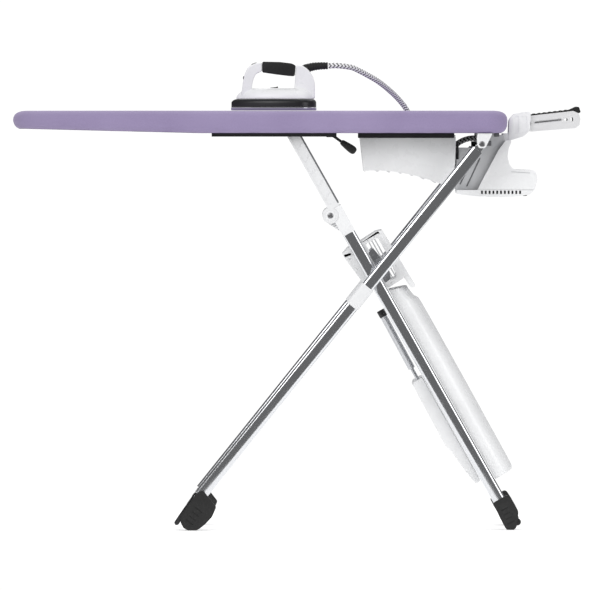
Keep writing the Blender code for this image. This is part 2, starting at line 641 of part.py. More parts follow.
def pocket_section(s_low, s_high, n_low, n_high, half, sides=15):
    """One rib of the pocket: an arch from leg to leg that bulges to the tail side."""
    loop = []
    for i in range(sides):
        a = math.pi * i / (sides - 1)
        rise = math.sin(a) ** 0.55 if 0 < i < sides - 1 else 0.0
        n = n_low + (n_high - n_low) * rise
        s = s_low + (s_high - s_low) * rise
        x, z = on_b(s, n)
        loop.append((x, -half * math.copysign(abs(math.cos(a)) ** 0.8, math.cos(a)), z))
    return loop


def iron_pocket():
    """White trough between the inner legs that takes the iron when the board is put away."""
    half = TUBE_IN - 0.0050
    wall = 0.003
    rows = ((0.0440, 0.0560, 0.0165, 0.0600), (0.060, 0.0860, 0.0165, 0.0640), (0.080, 0.0970, 0.0165, 0.0715),
            (0.250, 0.250, 0.0165, 0.0720), (0.420, 0.420, 0.0165, 0.0705), (POCKET_END - 0.012, POCKET_END - 0.012,
                                                                          0.0165, 0.0690))
    outer = [pocket_section(*row, half) for row in rows]
    inner = []
    for s_low, s_high, n_low, n_high in rows:
        inner.append(pocket_section(s_low, s_high, n_low + wall, n_high - wall, half - wall))
    bottom = [pocket_section(POCKET_END, POCKET_END, 0.0165, 0.0650, half - 0.004)]
    inner_bottom = [pocket_section(POCKET_END - wall, POCKET_END - wall, 0.0165 + wall, 0.060, half - 0.008)]
    loft("iron_pocket", outer + bottom, "white_plastic", leg_b_empty)
    hollow = bmesh.new()
    start = [pocket_section(-0.02, -0.02, 0.0165 + wall, 0.0600 - wall, half - wall)]
    add_loft(hollow, start + inner + inner_bottom)
    boolean(bpy.data.objects["iron_pocket"], cutter_from(hollow), "DIFFERENCE")


def rear_fittings():
    """Gas spring and its lower cover on the nose side of the inner legs."""
    y = -0.118
    radius = 0.0086
    axis_n = -0.0258
    steps = ((0.078, radius + 0.0006), (0.0855, radius + 0.0006), (0.086, radius), (0.237, radius),
             (0.238, 0.0045), (0.268, 0.0045))
    loops = []
    for s, size in steps:
        x, z = on_b(s, axis_n - 0.003 * (s - 0.078) / 0.19)
        loops.append(rod_loop(Vector((x, y, z)), Vector((DIR_B[0], 0, DIR_B[1])), Vector((0, 1, 0)), size, 18))
    loft("gas_spring", loops, "grey_plastic", leg_b_empty)
    half = TUBE_IN - 0.006
    cover = [on_b(0.274, -0.0465), on_b(0.268 + GAP + 0.0005, -0.0400), on_b(0.268 + GAP + 0.0005, -0.0165),
             on_b(0.556, -0.0165), on_b(0.560, -0.0300), on_b(0.523, -0.0375), on_b(0.462, -0.0440),
             on_b(0.440, -0.0500)]
    obj = prism("lower_cover", cover, -half, half, "white_plastic", leg_b_empty)
    hollow = [on_b(0.278, -0.0435), on_b(0.278, -0.0100), on_b(0.550, -0.0100), on_b(0.550, -0.0285),
              on_b(0.520, -0.0345), on_b(0.460, -0.0410), on_b(0.438, -0.0470)]
    cut(obj, hollow, -half + 0.003, half - 0.003)


# ---------------------------------------------------------------- water tank
TANK_DROP = 0.0640
TANK_LEFT = -0.3596
TANK_RIGHT = -0.1250


def tank_outline(inset):
    """Side view of the tank: a slanted front, an arched lower edge, a deep back corner."""
    arch = [(-0.3136, -0.1463), (-0.2964, -0.1472), (-0.2621, -0.1510), (-0.2345, -0.1561), (-0.2019, -0.1655),
            (-0.1624, -0.1784), (-0.1500, -0.1815)]
    lower = [(-0.3495 + inset, -0.1500 + inset), (-0.3386, -0.1458 + inset)] + [(x, z + inset) for x, z in arch]
    back = [(-0.1400, -0.1780), (-0.1290, -0.1450), (-0.1262, -0.1176), (TANK_RIGHT, -TANK_DROP)]
    return lower + [(x - inset, z) for x, z in back] + [(TANK_LEFT + inset, -TANK_DROP)]


def water_tank():
    """Removable tank, open at the top under its lid, with runners that slide in the tank rails."""
    tank = prism("water_tank", board_outline_points(tank_outline(0.0)), -TANK_HALF, TANK_HALF,
                 "white_plastic", tank_empty)
    hollow = tank_outline(PLASTIC)
    raised = [(x, -TANK_DROP + 0.02) if z == -TANK_DROP else (x, z) for x, z in hollow]
    cut(tank, board_outline_points(raised), -TANK_HALF + PLASTIC, TANK_HALF - PLASTIC)
    lid = board_outline_points(box_outline(TANK_LEFT + 0.001, TANK_RIGHT - 0.001, -TANK_DROP + GAP,
                                           -TANK_DROP + 0.0045))
    lid_obj = prism("tank_lid", lid, -TANK_HALF - 0.004, TANK_HALF + 0.004, "white_plastic", tank_empty)
    filler = (TAIL_X - 0.318, 0.0)
    hole = bmesh.new()
    level = BOARD_TOP - TANK_DROP
    add_loft(hole, [[(filler[0] + 0.014 * math.cos(a), 0.014 * math.sin(a), z)
                     for a in [math.tau * i / 16 for i in range(16)]] for z in (level - 0.01, level + 0.02)])
    boolean(lid_obj, cutter_from(hole), "DIFFERENCE")


def tank_cradle():
    """Black cradle under the board: two angle rails that carry the lid of the tank, joined by a plate."""
    top = BOARD_TOP - DECK_UNDER - GAP
    under = BOARD_TOP - TANK_DROP
    out = TANK_HALF + 0.0080
    wall = TANK_HALF + 0.0044
    lip = TANK_HALF + 0.0010
    section = [(-out, top), (-out, under - 0.0030), (-lip, under - 0.0030), (-lip, under - 0.0005),
               (-wall, under - 0.0005), (-wall, under + 0.0120), (wall, under + 0.0120), (wall, under - 0.0005),
               (lip, under - 0.0005), (lip, under - 0.0030), (out, under - 0.0030), (out, top),
               (wall, top), (wall, under + 0.0150), (-wall, under + 0.0150), (-wall, top)]
    bm = bmesh.new()
    add_loft(bm, [[(x, y, z) for y, z in section] for x in (TAIL_X - 0.3625, TAIL_X - 0.1290)])
    finish_object("tank_cradle", bm, "black_plastic", board_empty)


tank_empty = empty_at("tank_axis", (TAIL_X - 0.24, 0, BOARD_TOP - TANK_DROP))


# ---------------------------------------------------------------- steam generator
def generator_body():
    """Grey inner housing, open below, screwed to the deck by its neck."""
    top = -DECK_UNDER - GAP
    shape = [(-0.1237, -0.0907), (-0.0780, -0.0907), (-0.0600, -0.0600), (-0.0600, top), (-0.0260, top),
             (-0.0260, -0.0585), (-0.0074, -0.0600), (-0.0074, -0.1932), (-0.1237, -0.1932)]
    wall = PLASTIC
    obj = prism("generator_body", board_outline_points(shape), -BODY_HALF, BODY_HALF, "grey_plastic", board_empty)
    hollow = [(-0.1237 + wall, -0.0907 - wall), (-0.0762, -0.0907 - wall), (-0.0582, -0.0630),
              (-0.0074 - wall, -0.0630), (-0.0074 - wall, -0.2200), (-0.1237 + wall, -0.2200)]
    cut(obj, board_outline_points(hollow), -BODY_HALF + wall, BODY_HALF - wall)
    for i in range(4):
        low = -0.112 - 0.016 * i
        slot = board_outline_points(box_outline(-0.112, -0.082, low, low + 0.006))
        cut(obj, slot, BODY_HALF - 0.01, BODY_HALF + 0.01)


def generator_cowl():
    """White outer shell: tail side, flanks with a slanted front edge, and the neck of the iron rest."""
    shape = [(-0.0037, -0.0723), (0.0123, -0.0723), (0.0037, -0.0931), (0.0012, -0.1127), (0.0061, -0.1323),
             (0.0159, -0.1433), (0.0686, -0.1458), (0.0747, -0.1666), (0.0674, -0.1930), (-0.0723, -0.1930),
             (-0.0613, -0.1715), (-0.0417, -0.1348), (-0.0221, -0.0980)]
    obj = prism("generator_cowl", board_outline_points(shape), -COWL_HALF, COWL_HALF, "white_plastic", board_empty)
    hollow = [(-0.1000, -0.0755), (0.0078, -0.0755), (0.0007, -0.0935), (-0.0018, -0.1128), (0.0033, -0.1338),
              (0.0146, -0.1462), (0.0662, -0.1487), (0.0716, -0.1667), (0.0640, -0.2000), (-0.1000, -0.2000)]
    cut(obj, board_outline_points(hollow), -COWL_HALF + PLASTIC, COWL_HALF - PLASTIC)


VENT_COUNT = 11
VENT_PITCH = 0.0093


def generator_base():
    """Bottom tray with the row of vent slots."""
    shape = [(-0.1237, -0.1935), (0.0662, -0.1935), (0.0551, -0.2051), (0.0221, -0.2097), (-0.0147, -0.2114),
             (-0.0760, -0.2092), (-0.1237, -0.2034)]
    obj = prism("generator_base", board_outline_points(shape), -COWL_HALF, COWL_HALF, "white_plastic", board_empty)
    hollow = [(-0.1212, -0.1900), (0.0615, -0.1900), (0.0535, -0.2028), (0.0221, -0.2072), (-0.0147, -0.2089),
              (-0.0760, -0.2067), (-0.1212, -0.2012)]
    cut(obj, board_outline_points(hollow), -COWL_HALF + PLASTIC, COWL_HALF - PLASTIC)
    for i in range(VENT_COUNT):
        x = -0.0637 + VENT_PITCH * i
        cut(obj, board_outline_points(box_outline(x, x + 0.0042, -0.2035, -0.1962)), -0.2, 0.2)


def inside_generator():
    """Boiler, pump and blower."""
    centre = near_board(-0.0460, -0.1330)
    boiler = rod("boiler", (centre[0], -0.010, centre[1]), (centre[0], 0.080, centre[1]), 0.0330, "steel",
                 board_empty, 24)
    collar = ring_points(centre, 0.0345, 24)
    join(boiler, collar, 0.036, 0.041)
    pump = near_board(-0.0995, -0.1200)
    rod("water_pump", (pump[0], 0.010, pump[1]), (pump[0], 0.060, pump[1]), 0.0170, "brass", board_empty, 20)
    fan = near_board(-0.0640, -0.1440)
    rod("blower_motor", (fan[0], -0.0867, fan[1]), (fan[0], -0.0600, fan[1]), 0.0150, "steel", board_empty, 20)
    axis = empty_at("blower_axis", (fan[0], -0.05, fan[1]))
    wheel = []
    blades = 7
    for i in range(blades):
        for turn, radius in ((0.0, 0.011), (0.30, 0.034), (0.46, 0.034), (0.26, 0.011)):
            a = math.tau * i / blades + turn
            wheel.append((fan[0] + radius * math.cos(a), fan[1] + radius * math.sin(a)))
    prism("blower_wheel", wheel, -0.058, -0.034, "black_plastic", axis)


REST_PIVOT = near_board(0.0368, -0.0343)
REST_HALF = 0.050
CHEEK_HALF = 0.062
REST_PIN = 0.004


def iron_rest():
    """Folding iron rest past the tail: a white bracket, a metal tray on its pin and a rubber mat."""
    shape = [(0.0037, -0.0720), (0.0061, -0.0221), (0.0172, -0.0086), (0.0515, -0.0025), (0.0588, -0.0049),
             (0.0564, -0.0515), (0.0392, -0.0637), (0.0123, -0.0720)]
    bracket = prism("rest_bracket", board_outline_points(shape), -CHEEK_HALF, CHEEK_HALF, "white_plastic", board_empty)
    inner = REST_HALF + GAP
    cut(bracket, board_outline_points(box_outline(0.0125, 0.0800, -0.0900, 0.0300)), -inner, inner)
    join(bracket, ring_points(REST_PIVOT, REST_PIN, 14), -REST_HALF - 0.002, REST_HALF + 0.002)

    def at(points):
        return [(REST_PIVOT[0] + x, REST_PIVOT[1] + z) for x, z in points]

    tray_end = REST_REACH - 0.0368
    tray = prism("rest_tray", at([(-0.0100, 0.0080), (-0.0020, 0.0180), (0.0147, 0.0208), (tray_end - 0.0168, 0.0331),
                                  (tray_end - 0.0046, 0.0270), (tray_end - 0.0009, 0.0147), (tray_end - 0.0033, -0.0012),
                                  (tray_end - 0.0119, -0.0086), (0.0221, -0.0172), (0.0040, -0.0130),
                                  (-0.0080, -0.0080)]), -REST_HALF, REST_HALF, "steel", rest_empty)
    cut(tray, at([(0.0300, 0.0260), (tray_end - 0.0140, 0.0480), (tray_end - 0.0140, 0.0020), (0.0300, -0.0100)]),
        -REST_HALF + 0.004, REST_HALF - 0.004)
    cut(tray, ring_points(REST_PIVOT, REST_PIN + FIT, 14), -REST_HALF - 0.01, REST_HALF + 0.01)
    prism("rest_mat", at([(0.0160, 0.0213), (tray_end - 0.0167, 0.0336), (tray_end - 0.0040, 0.0277),
                          (tray_end, 0.0306), (tray_end - 0.0040, 0.0429), (tray_end - 0.0110, 0.0441),
                          (tray_end - 0.0281, 0.0362), (0.0125, 0.0240)]), -REST_HALF, REST_HALF, "rubber", rest_empty)


rest_empty = empty_at("rest_axis", (REST_PIVOT[0], 0, REST_PIVOT[1]))


# ---------------------------------------------------------------- iron
SOLE_FRONT = -0.1054
SOLE_BACK = 0.1041


def sole_plan(inset, z, sides=11):
    """The iron seen from above: pointed to the nose, round at the heel."""
    front = IRON_X + SOLE_FRONT + inset * 1.6
    back = IRON_X + SOLE_BACK - inset
    half = IRON_HALF_WIDTH - inset
    shoulder = back - 0.045
    side = []
    for i in range(sides + 1):
        t = i / sides
        x = front + (shoulder - front) * t
        side.append((x, half * (1 - (1 - t) ** 2.1) ** 0.75))
    for i in range(1, 6):
        a = math.pi / 2 * i / 5
        side.append((shoulder + 0.045 * math.sin(a), half * math.cos(a) ** 0.8 if i < 5 else 0.0))
    mirrored = [(x, -y) for x, y in reversed(side[1:-1])]
    return [(x, y, BOARD_TOP + z) for x, y in side + mirrored]


def at_iron(points):
    return [(IRON_X + x, BOARD_TOP + z) for x, z in points]


STEAM_BUTTON = (-0.0480, 0.1100)
FRONT_BUTTON = (-0.0728, 0.0800)


def iron():
    """Soleplate, heat shield, shell with its handle arm and column, grip, hose relief and controls."""
    loft("iron_soleplate", [sole_plan(0.001, 0.0004), sole_plan(0.0, 0.0015), sole_plan(0.0, 0.0080)], "steel",
         iron_empty)
    loft("iron_skirt", [sole_plan(0.0005, 0.0083), sole_plan(0.0005, 0.0190), sole_plan(0.0035, 0.0250),
                        sole_plan(0.0075, 0.0283)], "black_plastic", iron_empty)
    shell = loft("iron_shell", [sole_plan(0.0075, 0.0286), sole_plan(0.0088, 0.0350), sole_plan(0.0155, 0.0435),
                                sole_plan(0.0255, 0.0510), sole_plan(0.0360, 0.0547)], "white_plastic", iron_empty)
    arm = at_iron([(-0.0799, 0.0375), (-0.0762, 0.0688), (-0.0715, 0.0906), (-0.0621, 0.1078), (-0.0465, 0.1156),
                   (-0.0297, 0.1178), (-0.0297, 0.0972), (-0.0449, 0.0890), (-0.0506, 0.0750), (-0.0559, 0.0500),
                   (-0.0570, 0.0375)])
    join(shell, arm, -0.0150, 0.0150)
    column = at_iron([(0.0534, 0.1103), (0.0686, 0.1103), (0.0833, 0.1004), (0.0945, 0.0845), (0.1000, 0.0662),
                      (0.1004, 0.0290), (0.0560, 0.0290), (0.0500, 0.0360), (0.0505, 0.0500)])
    join(shell, column, -0.0200, 0.0200)
    hollow = bmesh.new()
    add_loft(hollow, [sole_plan(0.0105, 0.0250), sole_plan(0.0120, 0.0350), sole_plan(0.0195, 0.0420),
                      sole_plan(0.0300, 0.0470)])
    boolean(shell, cutter_from(hollow), "DIFFERENCE")
    grip = prism("iron_grip", at_iron([(-0.0294, 0.1194), (0.0147, 0.1185), (0.0441, 0.1150), (0.0526, 0.1090),
                                       (0.0503, 0.0840), (0.0147, 0.0862), (-0.0294, 0.0931)]), -0.0165, 0.0165,
                 "black_plastic", iron_empty)
    bevel = grip.modifiers.new("round", "BEVEL")
    bevel.width = 0.005
    bevel.segments = 2
    steam = STEAM_BUTTON
    cut(shell, at_iron(box_outline(steam[0] - 0.0080, steam[0] + 0.0080, steam[1] - 0.0075, steam[1] + 0.03)),
        -0.0085, 0.0085)
    prism("steam_button", at_iron([(steam[0] - 0.0075, steam[1] - 0.0040), (steam[0] + 0.0075, steam[1] - 0.0040),
                                   (steam[0] + 0.0075, steam[1] + 0.0080), (steam[0] - 0.0075, steam[1] + 0.0034)]),
          -0.0080, 0.0080, "black_plastic", steam_empty)
    front = FRONT_BUTTON
    cut(shell, at_iron(box_outline(front[0] - 0.03, front[0] + 0.0065, front[1] - 0.0050, front[1] + 0.0050)),
        -0.0065, 0.0065)
    prism("front_button", at_iron(box_outline(front[0] - 0.0028, front[0] + 0.0040, front[1] - 0.0045,
                                              front[1] + 0.0045)), -0.0060, 0.0060, "black_plastic", front_empty)
    prism("thumb_slider", at_iron([(-0.0090, 0.0551), (0.0097, 0.0551), (0.0097, 0.0592), (-0.0090, 0.0562)]),
          -0.0070, 0.0070, "black_plastic", slider_empty)
    relief = [(0.0720, 0.0985), (0.0790, 0.1025), (0.0931, 0.1070), (0.1120, 0.1092), (0.1317, 0.1097)]
    radii = (0.0112, 0.0118, 0.0114, 0.0100, 0.0088)
    loops = []
    socket = []
    for i, ((x, z), radius) in enumerate(zip(relief, radii)):
        low = relief[max(i - 1, 0)]
        high = relief[min(i + 1, len(relief) - 1)]
        axis = Vector((high[0] - low[0], 0, high[1] - low[1])).normalized()
        centre = Vector((IRON_X + x, 0, BOARD_TOP + z))
        loops.append(rod_loop(centre, axis, Vector((0, 1, 0)), radius, 14))
        socket.append(rod_loop(centre - axis * 0.0008, axis, Vector((0, 1, 0)), radius + 0.0008, 14))
    hollow = bmesh.new()
    add_loft(hollow, socket)
    boolean(shell, cutter_from(hollow), "DIFFERENCE")
    loft("hose_relief", loops, "rubber", iron_empty)


iron_empty = empty_at("iron_lift_axis", (IRON_X, 0, BOARD_TOP))
steam_empty = empty_at("steam_button_axis", (IRON_X + STEAM_BUTTON[0], 0, BOARD_TOP + STEAM_BUTTON[1]))
front_empty = empty_at("front_button_axis", (IRON_X + FRONT_BUTTON[0], 0, BOARD_TOP + FRONT_BUTTON[1]))
slider_empty = empty_at("thumb_slider_axis", (IRON_X, 0, BOARD_TOP + 0.057))

# ---------------------------------------------------------------- steam hose
HOSE_ROUTE = [(0.0782, 0.0000, 1.1297), (0.1000, 0.0008, 1.1302), (0.1250, 0.0090, 1.1275), (0.1407, 0.0180, 1.1238),
              (0.1720, 0.0460, 1.1082), (0.2032, 0.0850, 1.0900), (0.2345, 0.1500, 1.0650), (0.2563, 0.1930, 1.0432),
              (0.2720, 0.2180, 1.0220), (0.2830, 0.2270, 0.9960), (0.2900, 0.2250, 0.9700), (0.2980, 0.2130, 0.9450),
              (0.3120, 0.1940, 0.9350), (0.3300, 0.1750, 0.9280), (0.3480, 0.1640, 0.9130), (0.3610, 0.1600, 0.8920)]
COIL_CENTRE = (0.4370, 0.8850)
COIL_LANE = 0.11525         # Y of the hose where it leaves the coil
COIL_IN = math.radians(195.0)      # where the hose runs onto the coil
COIL_OUT = math.radians(270.0)     # where the tail leaves it
GLAND_X = COIL_CENTRE[0] + 0.0480


def smooth_points(points, spacing):
    """Evenly spaced points on a smooth curve through the given ones."""
    knots = [Vector(p) for p in points]
    fine = []
    for i in range(len(knots) - 1):
        before = knots[i - 1] if i else knots[0] * 2 - knots[1]
        after = knots[i + 2] if i + 2 < len(knots) else knots[-1] * 2 - knots[-2]
        for j in range(24):
            t = j / 24
            fine.append(0.5 * (2 * knots[i] + (knots[i + 1] - before) * t
                               + (2 * before - 5 * knots[i] + 4 * knots[i + 1] - after) * t ** 2
                               + (3 * knots[i] - before - 3 * knots[i + 1] + after) * t ** 3))
    fine.append(knots[-1])
    lengths = [0.0]
    for a, b in zip(fine, fine[1:]):
        lengths.append(lengths[-1] + (b - a).length)
    count = max(2, round(lengths[-1] / spacing))
    result = []
    k = 0
    for i in range(count + 1):
        target = lengths[-1] * i / count
        while k < len(lengths) - 2 and lengths[k + 1] < target:
            k += 1
        share = (target - lengths[k]) / max(lengths[k + 1] - lengths[k], 1e-9)
        result.append(fine[k].lerp(fine[k + 1], min(max(share, 0.0), 1.0)))
    return result, lengths[-1]


def coil_point(angle, y):
    return (COIL_CENTRE[0] + COIL_RADIUS * math.cos(angle), y, COIL_CENTRE[1] + COIL_RADIUS * math.sin(angle))


def hose_tube(name, points):
    """A plain round tube along the points, with closed ends."""
    curve = bpy.data.curves.new(name, "CURVE")
    curve.dimensions = "3D"
    spline = curve.splines.new("POLY")
    spline.points.add(len(points) - 1)
    for target, point in zip(spline.points, points):
        target.co = (*point, 1.0)
    curve.bevel_depth = HOSE_DIAMETER / 2
    curve.bevel_resolution = 3
    curve.use_fill_caps = True
    obj = bpy.data.objects.new(name, curve)
    bpy.context.scene.collection.objects.link(obj)
    obj.data.materials.append(finish_for(name, "braid"))
    obj.parent = board_empty


def hose():
    """Hose from the iron over the far edge to a coil that hangs behind the generator, its hook and gland."""
    turns = COIL_TURNS + (COIL_OUT - COIL_IN) / math.tau
    lane_in = COIL_LANE + turns * HOSE_DIAMETER
    route = HOSE_ROUTE + [coil_point(COIL_IN - 7 * GAP / COIL_RADIUS, lane_in)]
    points, run_length = smooth_points(route, 0.030)
    hose_tube("hose_run", points)
    low = COIL_RADIUS - HOSE_DIAMETER / 2
    high = COIL_RADIUS + HOSE_DIAMETER / 2
    last = (COIL_OUT - COIL_IN) / math.tau
    steps = 36
    loops = []
    for i in range(steps + 1):
        part_turn = (1 - 5 / 360) * i / steps
        a = COIL_IN + math.tau * part_turn
        left = last - part_turn if part_turn <= last else last + 1 - part_turn
        near = COIL_LANE + HOSE_DIAMETER * (left - 0.5)
        far = lane_in - HOSE_DIAMETER * (part_turn - 0.5) - 3 * GAP
        loops.append([(COIL_CENTRE[0] + r * math.cos(a), y, COIL_CENTRE[1] + r * math.sin(a))
                      for r, y in ((low, near), (high, near), (high, far), (low, far))])
    loft("hose_coil", loops, "braid", board_empty)
    peg = 0.005
    peg_z = COIL_CENTRE[1] + low - peg - 3 * GAP
    plate = box_outline(COIL_CENTRE[0] - 0.008, COIL_CENTRE[0] + 0.002, COIL_CENTRE[1] + 0.010, peg_z + peg)
    hook = prism("hose_hook", plate, BODY_HALF + GAP, BODY_HALF + 0.0045, "black_plastic", board_empty)
    join(hook, ring_points((COIL_CENTRE[0], peg_z), peg, 12), BODY_HALF + 0.002, lane_in + HOSE_DIAMETER / 2 + 0.0015)
    gland_z = COIL_CENTRE[1] - COIL_RADIUS
    block = box_outline(GLAND_X, GLAND_X + 0.024, gland_z - 0.0095, gland_z + 0.0095)
    prism("hose_gland", block, COWL_HALF + GAP, COIL_LANE + 0.0095, "black_plastic", board_empty)
    return run_length + turns * math.tau * COIL_RADIUS + GLAND_X - COIL_CENTRE[0]


board_cover()
board_pad()
board_deck()
slide_track()
carriage()
height_lever()
legs_a()
feet_a()
pivot_brackets()
legs_b()
feet_b()
crossing_bracket()
iron_pocket()
rear_fittings()
water_tank()
tank_cradle()
generator_body()
generator_cowl()
generator_base()
inside_generator()
iron_rest()
iron()
print("hose length", round(hose(), 4))
print("PIVOT", PIVOT, "CROSS", CROSS, "SLIDE", SLIDE, "KNEE", KNEE)
print("FOOT_A", FOOT_A, "FOOT_B", FOOT_B, "REST", REST_PIVOT, "LEVER", LEVER_ROOT)
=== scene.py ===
# %% [markdown]
# # A steam ironing board
#
# This lesson dresses a working mechanical model of an ironing board. The model already holds the bars, the
# hinges and the places of everything. Here each plain solid gets the surface that a hand or an eye would
# meet: taut cotton, chromed tube, moulded plastic, rubber and a braided hose. All lengths are in metres.

import math

import bmesh
import bpy
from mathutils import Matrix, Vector


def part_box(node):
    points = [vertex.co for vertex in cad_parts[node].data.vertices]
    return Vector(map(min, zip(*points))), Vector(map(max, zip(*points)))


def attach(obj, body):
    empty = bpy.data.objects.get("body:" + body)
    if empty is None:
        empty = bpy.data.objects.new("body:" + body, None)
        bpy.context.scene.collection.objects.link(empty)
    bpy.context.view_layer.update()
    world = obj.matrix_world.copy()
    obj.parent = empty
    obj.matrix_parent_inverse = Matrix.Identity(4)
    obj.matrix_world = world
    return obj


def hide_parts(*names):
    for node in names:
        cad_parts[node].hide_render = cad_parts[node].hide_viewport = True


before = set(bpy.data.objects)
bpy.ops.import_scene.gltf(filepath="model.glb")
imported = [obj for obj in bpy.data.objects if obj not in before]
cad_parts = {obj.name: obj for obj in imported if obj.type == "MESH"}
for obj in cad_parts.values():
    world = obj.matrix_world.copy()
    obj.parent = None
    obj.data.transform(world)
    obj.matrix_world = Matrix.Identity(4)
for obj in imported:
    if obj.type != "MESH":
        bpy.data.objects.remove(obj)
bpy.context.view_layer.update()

# %% [markdown]
# ## Where things are
#
# The main places are read, not typed. The ends of the board come from the box of its cover, and the lines of
# the legs come from their axles. `on_a` and `on_b` then turn "so far down a leg, so far across it" into X and
# Z, so that a piece on a slanted leg is drawn as easily as one that stands straight.

# %% Places read from the frame


def middle(node):
    low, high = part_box(node)
    return (low + high) / 2


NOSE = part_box("board_cover")[0].x
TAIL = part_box("board_cover")[1].x
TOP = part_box("board_cover")[1].z
BOARD_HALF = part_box("board_cover")[1].y
LEG_A_Y = middle("leg_a_tube_back").y
LEG_B_Y = middle("leg_b_tube_back").y
CROSS = Vector((middle("cross_axle").x, middle("cross_axle").z))
SLIDE = Vector((middle("slider_shaft").x, middle("slider_shaft").z))
KNEE = Vector((middle("knee_axle").x, middle("knee_axle").z))
FOOT_A = Vector((middle("foot_bar_a").x, middle("foot_bar_a").z))
FOOT_B = Vector((middle("foot_bar_b").x, middle("foot_bar_b").z))
DOWN_A = (FOOT_A - CROSS).normalized()
DOWN_B = (CROSS - SLIDE).normalized()
ACROSS_A = Vector((DOWN_A.y, -DOWN_A.x))
ACROSS_B = Vector((-DOWN_B.y, DOWN_B.x))
PIVOT_REACH = 0.418
PIVOT = CROSS - DOWN_A * PIVOT_REACH
SIDES = (("front", -1), ("back", 1))


def on_a(s, n=0.0):
    """s down an outer leg from the crossing, n towards its upper side."""
    point = CROSS + DOWN_A * s + ACROSS_A * n
    return point.x, point.y


def on_b(s, n=0.0):
    """s down an inner leg from the crossing, n towards the tail."""
    point = CROSS + DOWN_B * s + ACROSS_B * n
    return point.x, point.y


def off_tail(points):
    """Points given from the tail edge and the ironing surface, in X and Z."""
    return [(TAIL + x, TOP + z) for x, z in points]


print("tail", round(TAIL, 4), "pivot", PIVOT, "foot B", FOOT_B, "on line", on_b((FOOT_B - CROSS).length))

# %% [markdown]
# ## Camera, light and floor
#
# A long lens far away keeps the board almost free of perspective, so its top is seen edge on. The room is
# bright behind the board and darker behind the camera. Chrome has no colour of its own: its stripes are that
# light and dark room, so the sky shows it bands. Matt pieces get an even light. Three big soft lamps shape
# the white plastic.

# %% Set the camera
CAMERA_PLACE = Vector((-0.0037, -24.0, 1.0))
LOOK_AT = Vector((-0.0037, 0.0, 0.5684))
bpy.ops.object.select_all(action="DESELECT")
bpy.ops.object.camera_add(location=CAMERA_PLACE)
camera = bpy.context.object
camera.rotation_euler = (LOOK_AT - CAMERA_PLACE).to_track_quat("-Z", "Y").to_euler()
camera.data.lens = 598.0
camera.data.sensor_width = 36.0
camera.data.clip_end = 80.0
bpy.context.scene.camera = camera
bpy.context.scene.view_settings.view_transform = "Standard"
print("camera", camera.location)

# %% Make the sky: white seen directly, even for the matt pieces, banded for the metal
sky = bpy.data.worlds.new("studio_sky")
bpy.context.scene.world = sky
sky.use_nodes = True
nodes = sky.node_tree.nodes
links = sky.node_tree.links
nodes.clear()
direction = nodes.new("ShaderNodeTexCoord")
parts = nodes.new("ShaderNodeSeparateXYZ")
links.new(direction.outputs["Generated"], parts.inputs[0])


def sky_ramp(stops, source):
    """Grey bands over one part of the direction, which runs from -1 to 1."""
    to_share = nodes.new("ShaderNodeMapRange")
    to_share.inputs["From Min"].default_value = -1.0
    bands = nodes.new("ShaderNodeValToRGB")
    ramp = bands.color_ramp
    while len(ramp.elements) < len(stops):
        ramp.elements.new(0.5)
    for stop, (place, grey) in zip(ramp.elements, stops):
        stop.position = place
        stop.color = (grey, grey, grey * 1.01, 1.0)
    links.new(source, to_share.inputs["Value"])
    links.new(to_share.outputs["Result"], bands.inputs["Fac"])
    return bands.outputs["Color"]


def background(colour, strength):
    """One plain light of the sky; colour is a grey or the output of a ramp."""
    light = nodes.new("ShaderNodeBackground")
    if isinstance(colour, float):
        light.inputs["Color"].default_value = (colour, colour, colour, 1.0)
    else:
        links.new(colour, light.inputs["Color"])
    light.inputs["Strength"].default_value = strength
    return light.outputs["Background"]


UPPER_BANDS = ((0.0, 0.17), (0.10, 0.15), (0.17, 0.03), (0.20, 0.95), (0.235, 0.95), (0.27, 0.04),
               (0.40, 0.20), (0.62, 0.17), (0.80, 0.05), (1.0, 0.45))
LOWER_BANDS = ((0.0, 0.17), (0.16, 0.16), (0.45, 0.22), (0.60, 0.55), (0.80, 0.30), (1.0, 0.80))
seen = nodes.new("ShaderNodeLightPath")
above = sky_ramp(((0.0, 0.0), (0.492, 0.0), (0.508, 1.0), (1.0, 1.0)), parts.outputs["Z"])
mirrored = nodes.new("ShaderNodeMixShader")
links.new(above, mirrored.inputs[0])
links.new(background(sky_ramp(LOWER_BANDS, parts.outputs["Y"]), 1.0), mirrored.inputs[1])
links.new(background(sky_ramp(UPPER_BANDS, parts.outputs["Y"]), 1.0), mirrored.inputs[2])
matt = nodes.new("ShaderNodeMixShader")
links.new(seen.outputs["Is Diffuse Ray"], matt.inputs[0])
links.new(mirrored.outputs["Shader"], matt.inputs[1])
links.new(background(1.0, 0.70), matt.inputs[2])
either = nodes.new("ShaderNodeMixShader")
links.new(seen.outputs["Is Camera Ray"], either.inputs[0])
links.new(matt.outputs["Shader"], either.inputs[1])
links.new(background(1.0, 1.05), either.inputs[2])
out = nodes.new("ShaderNodeOutputWorld")
links.new(either.outputs["Shader"], out.inputs["Surface"])

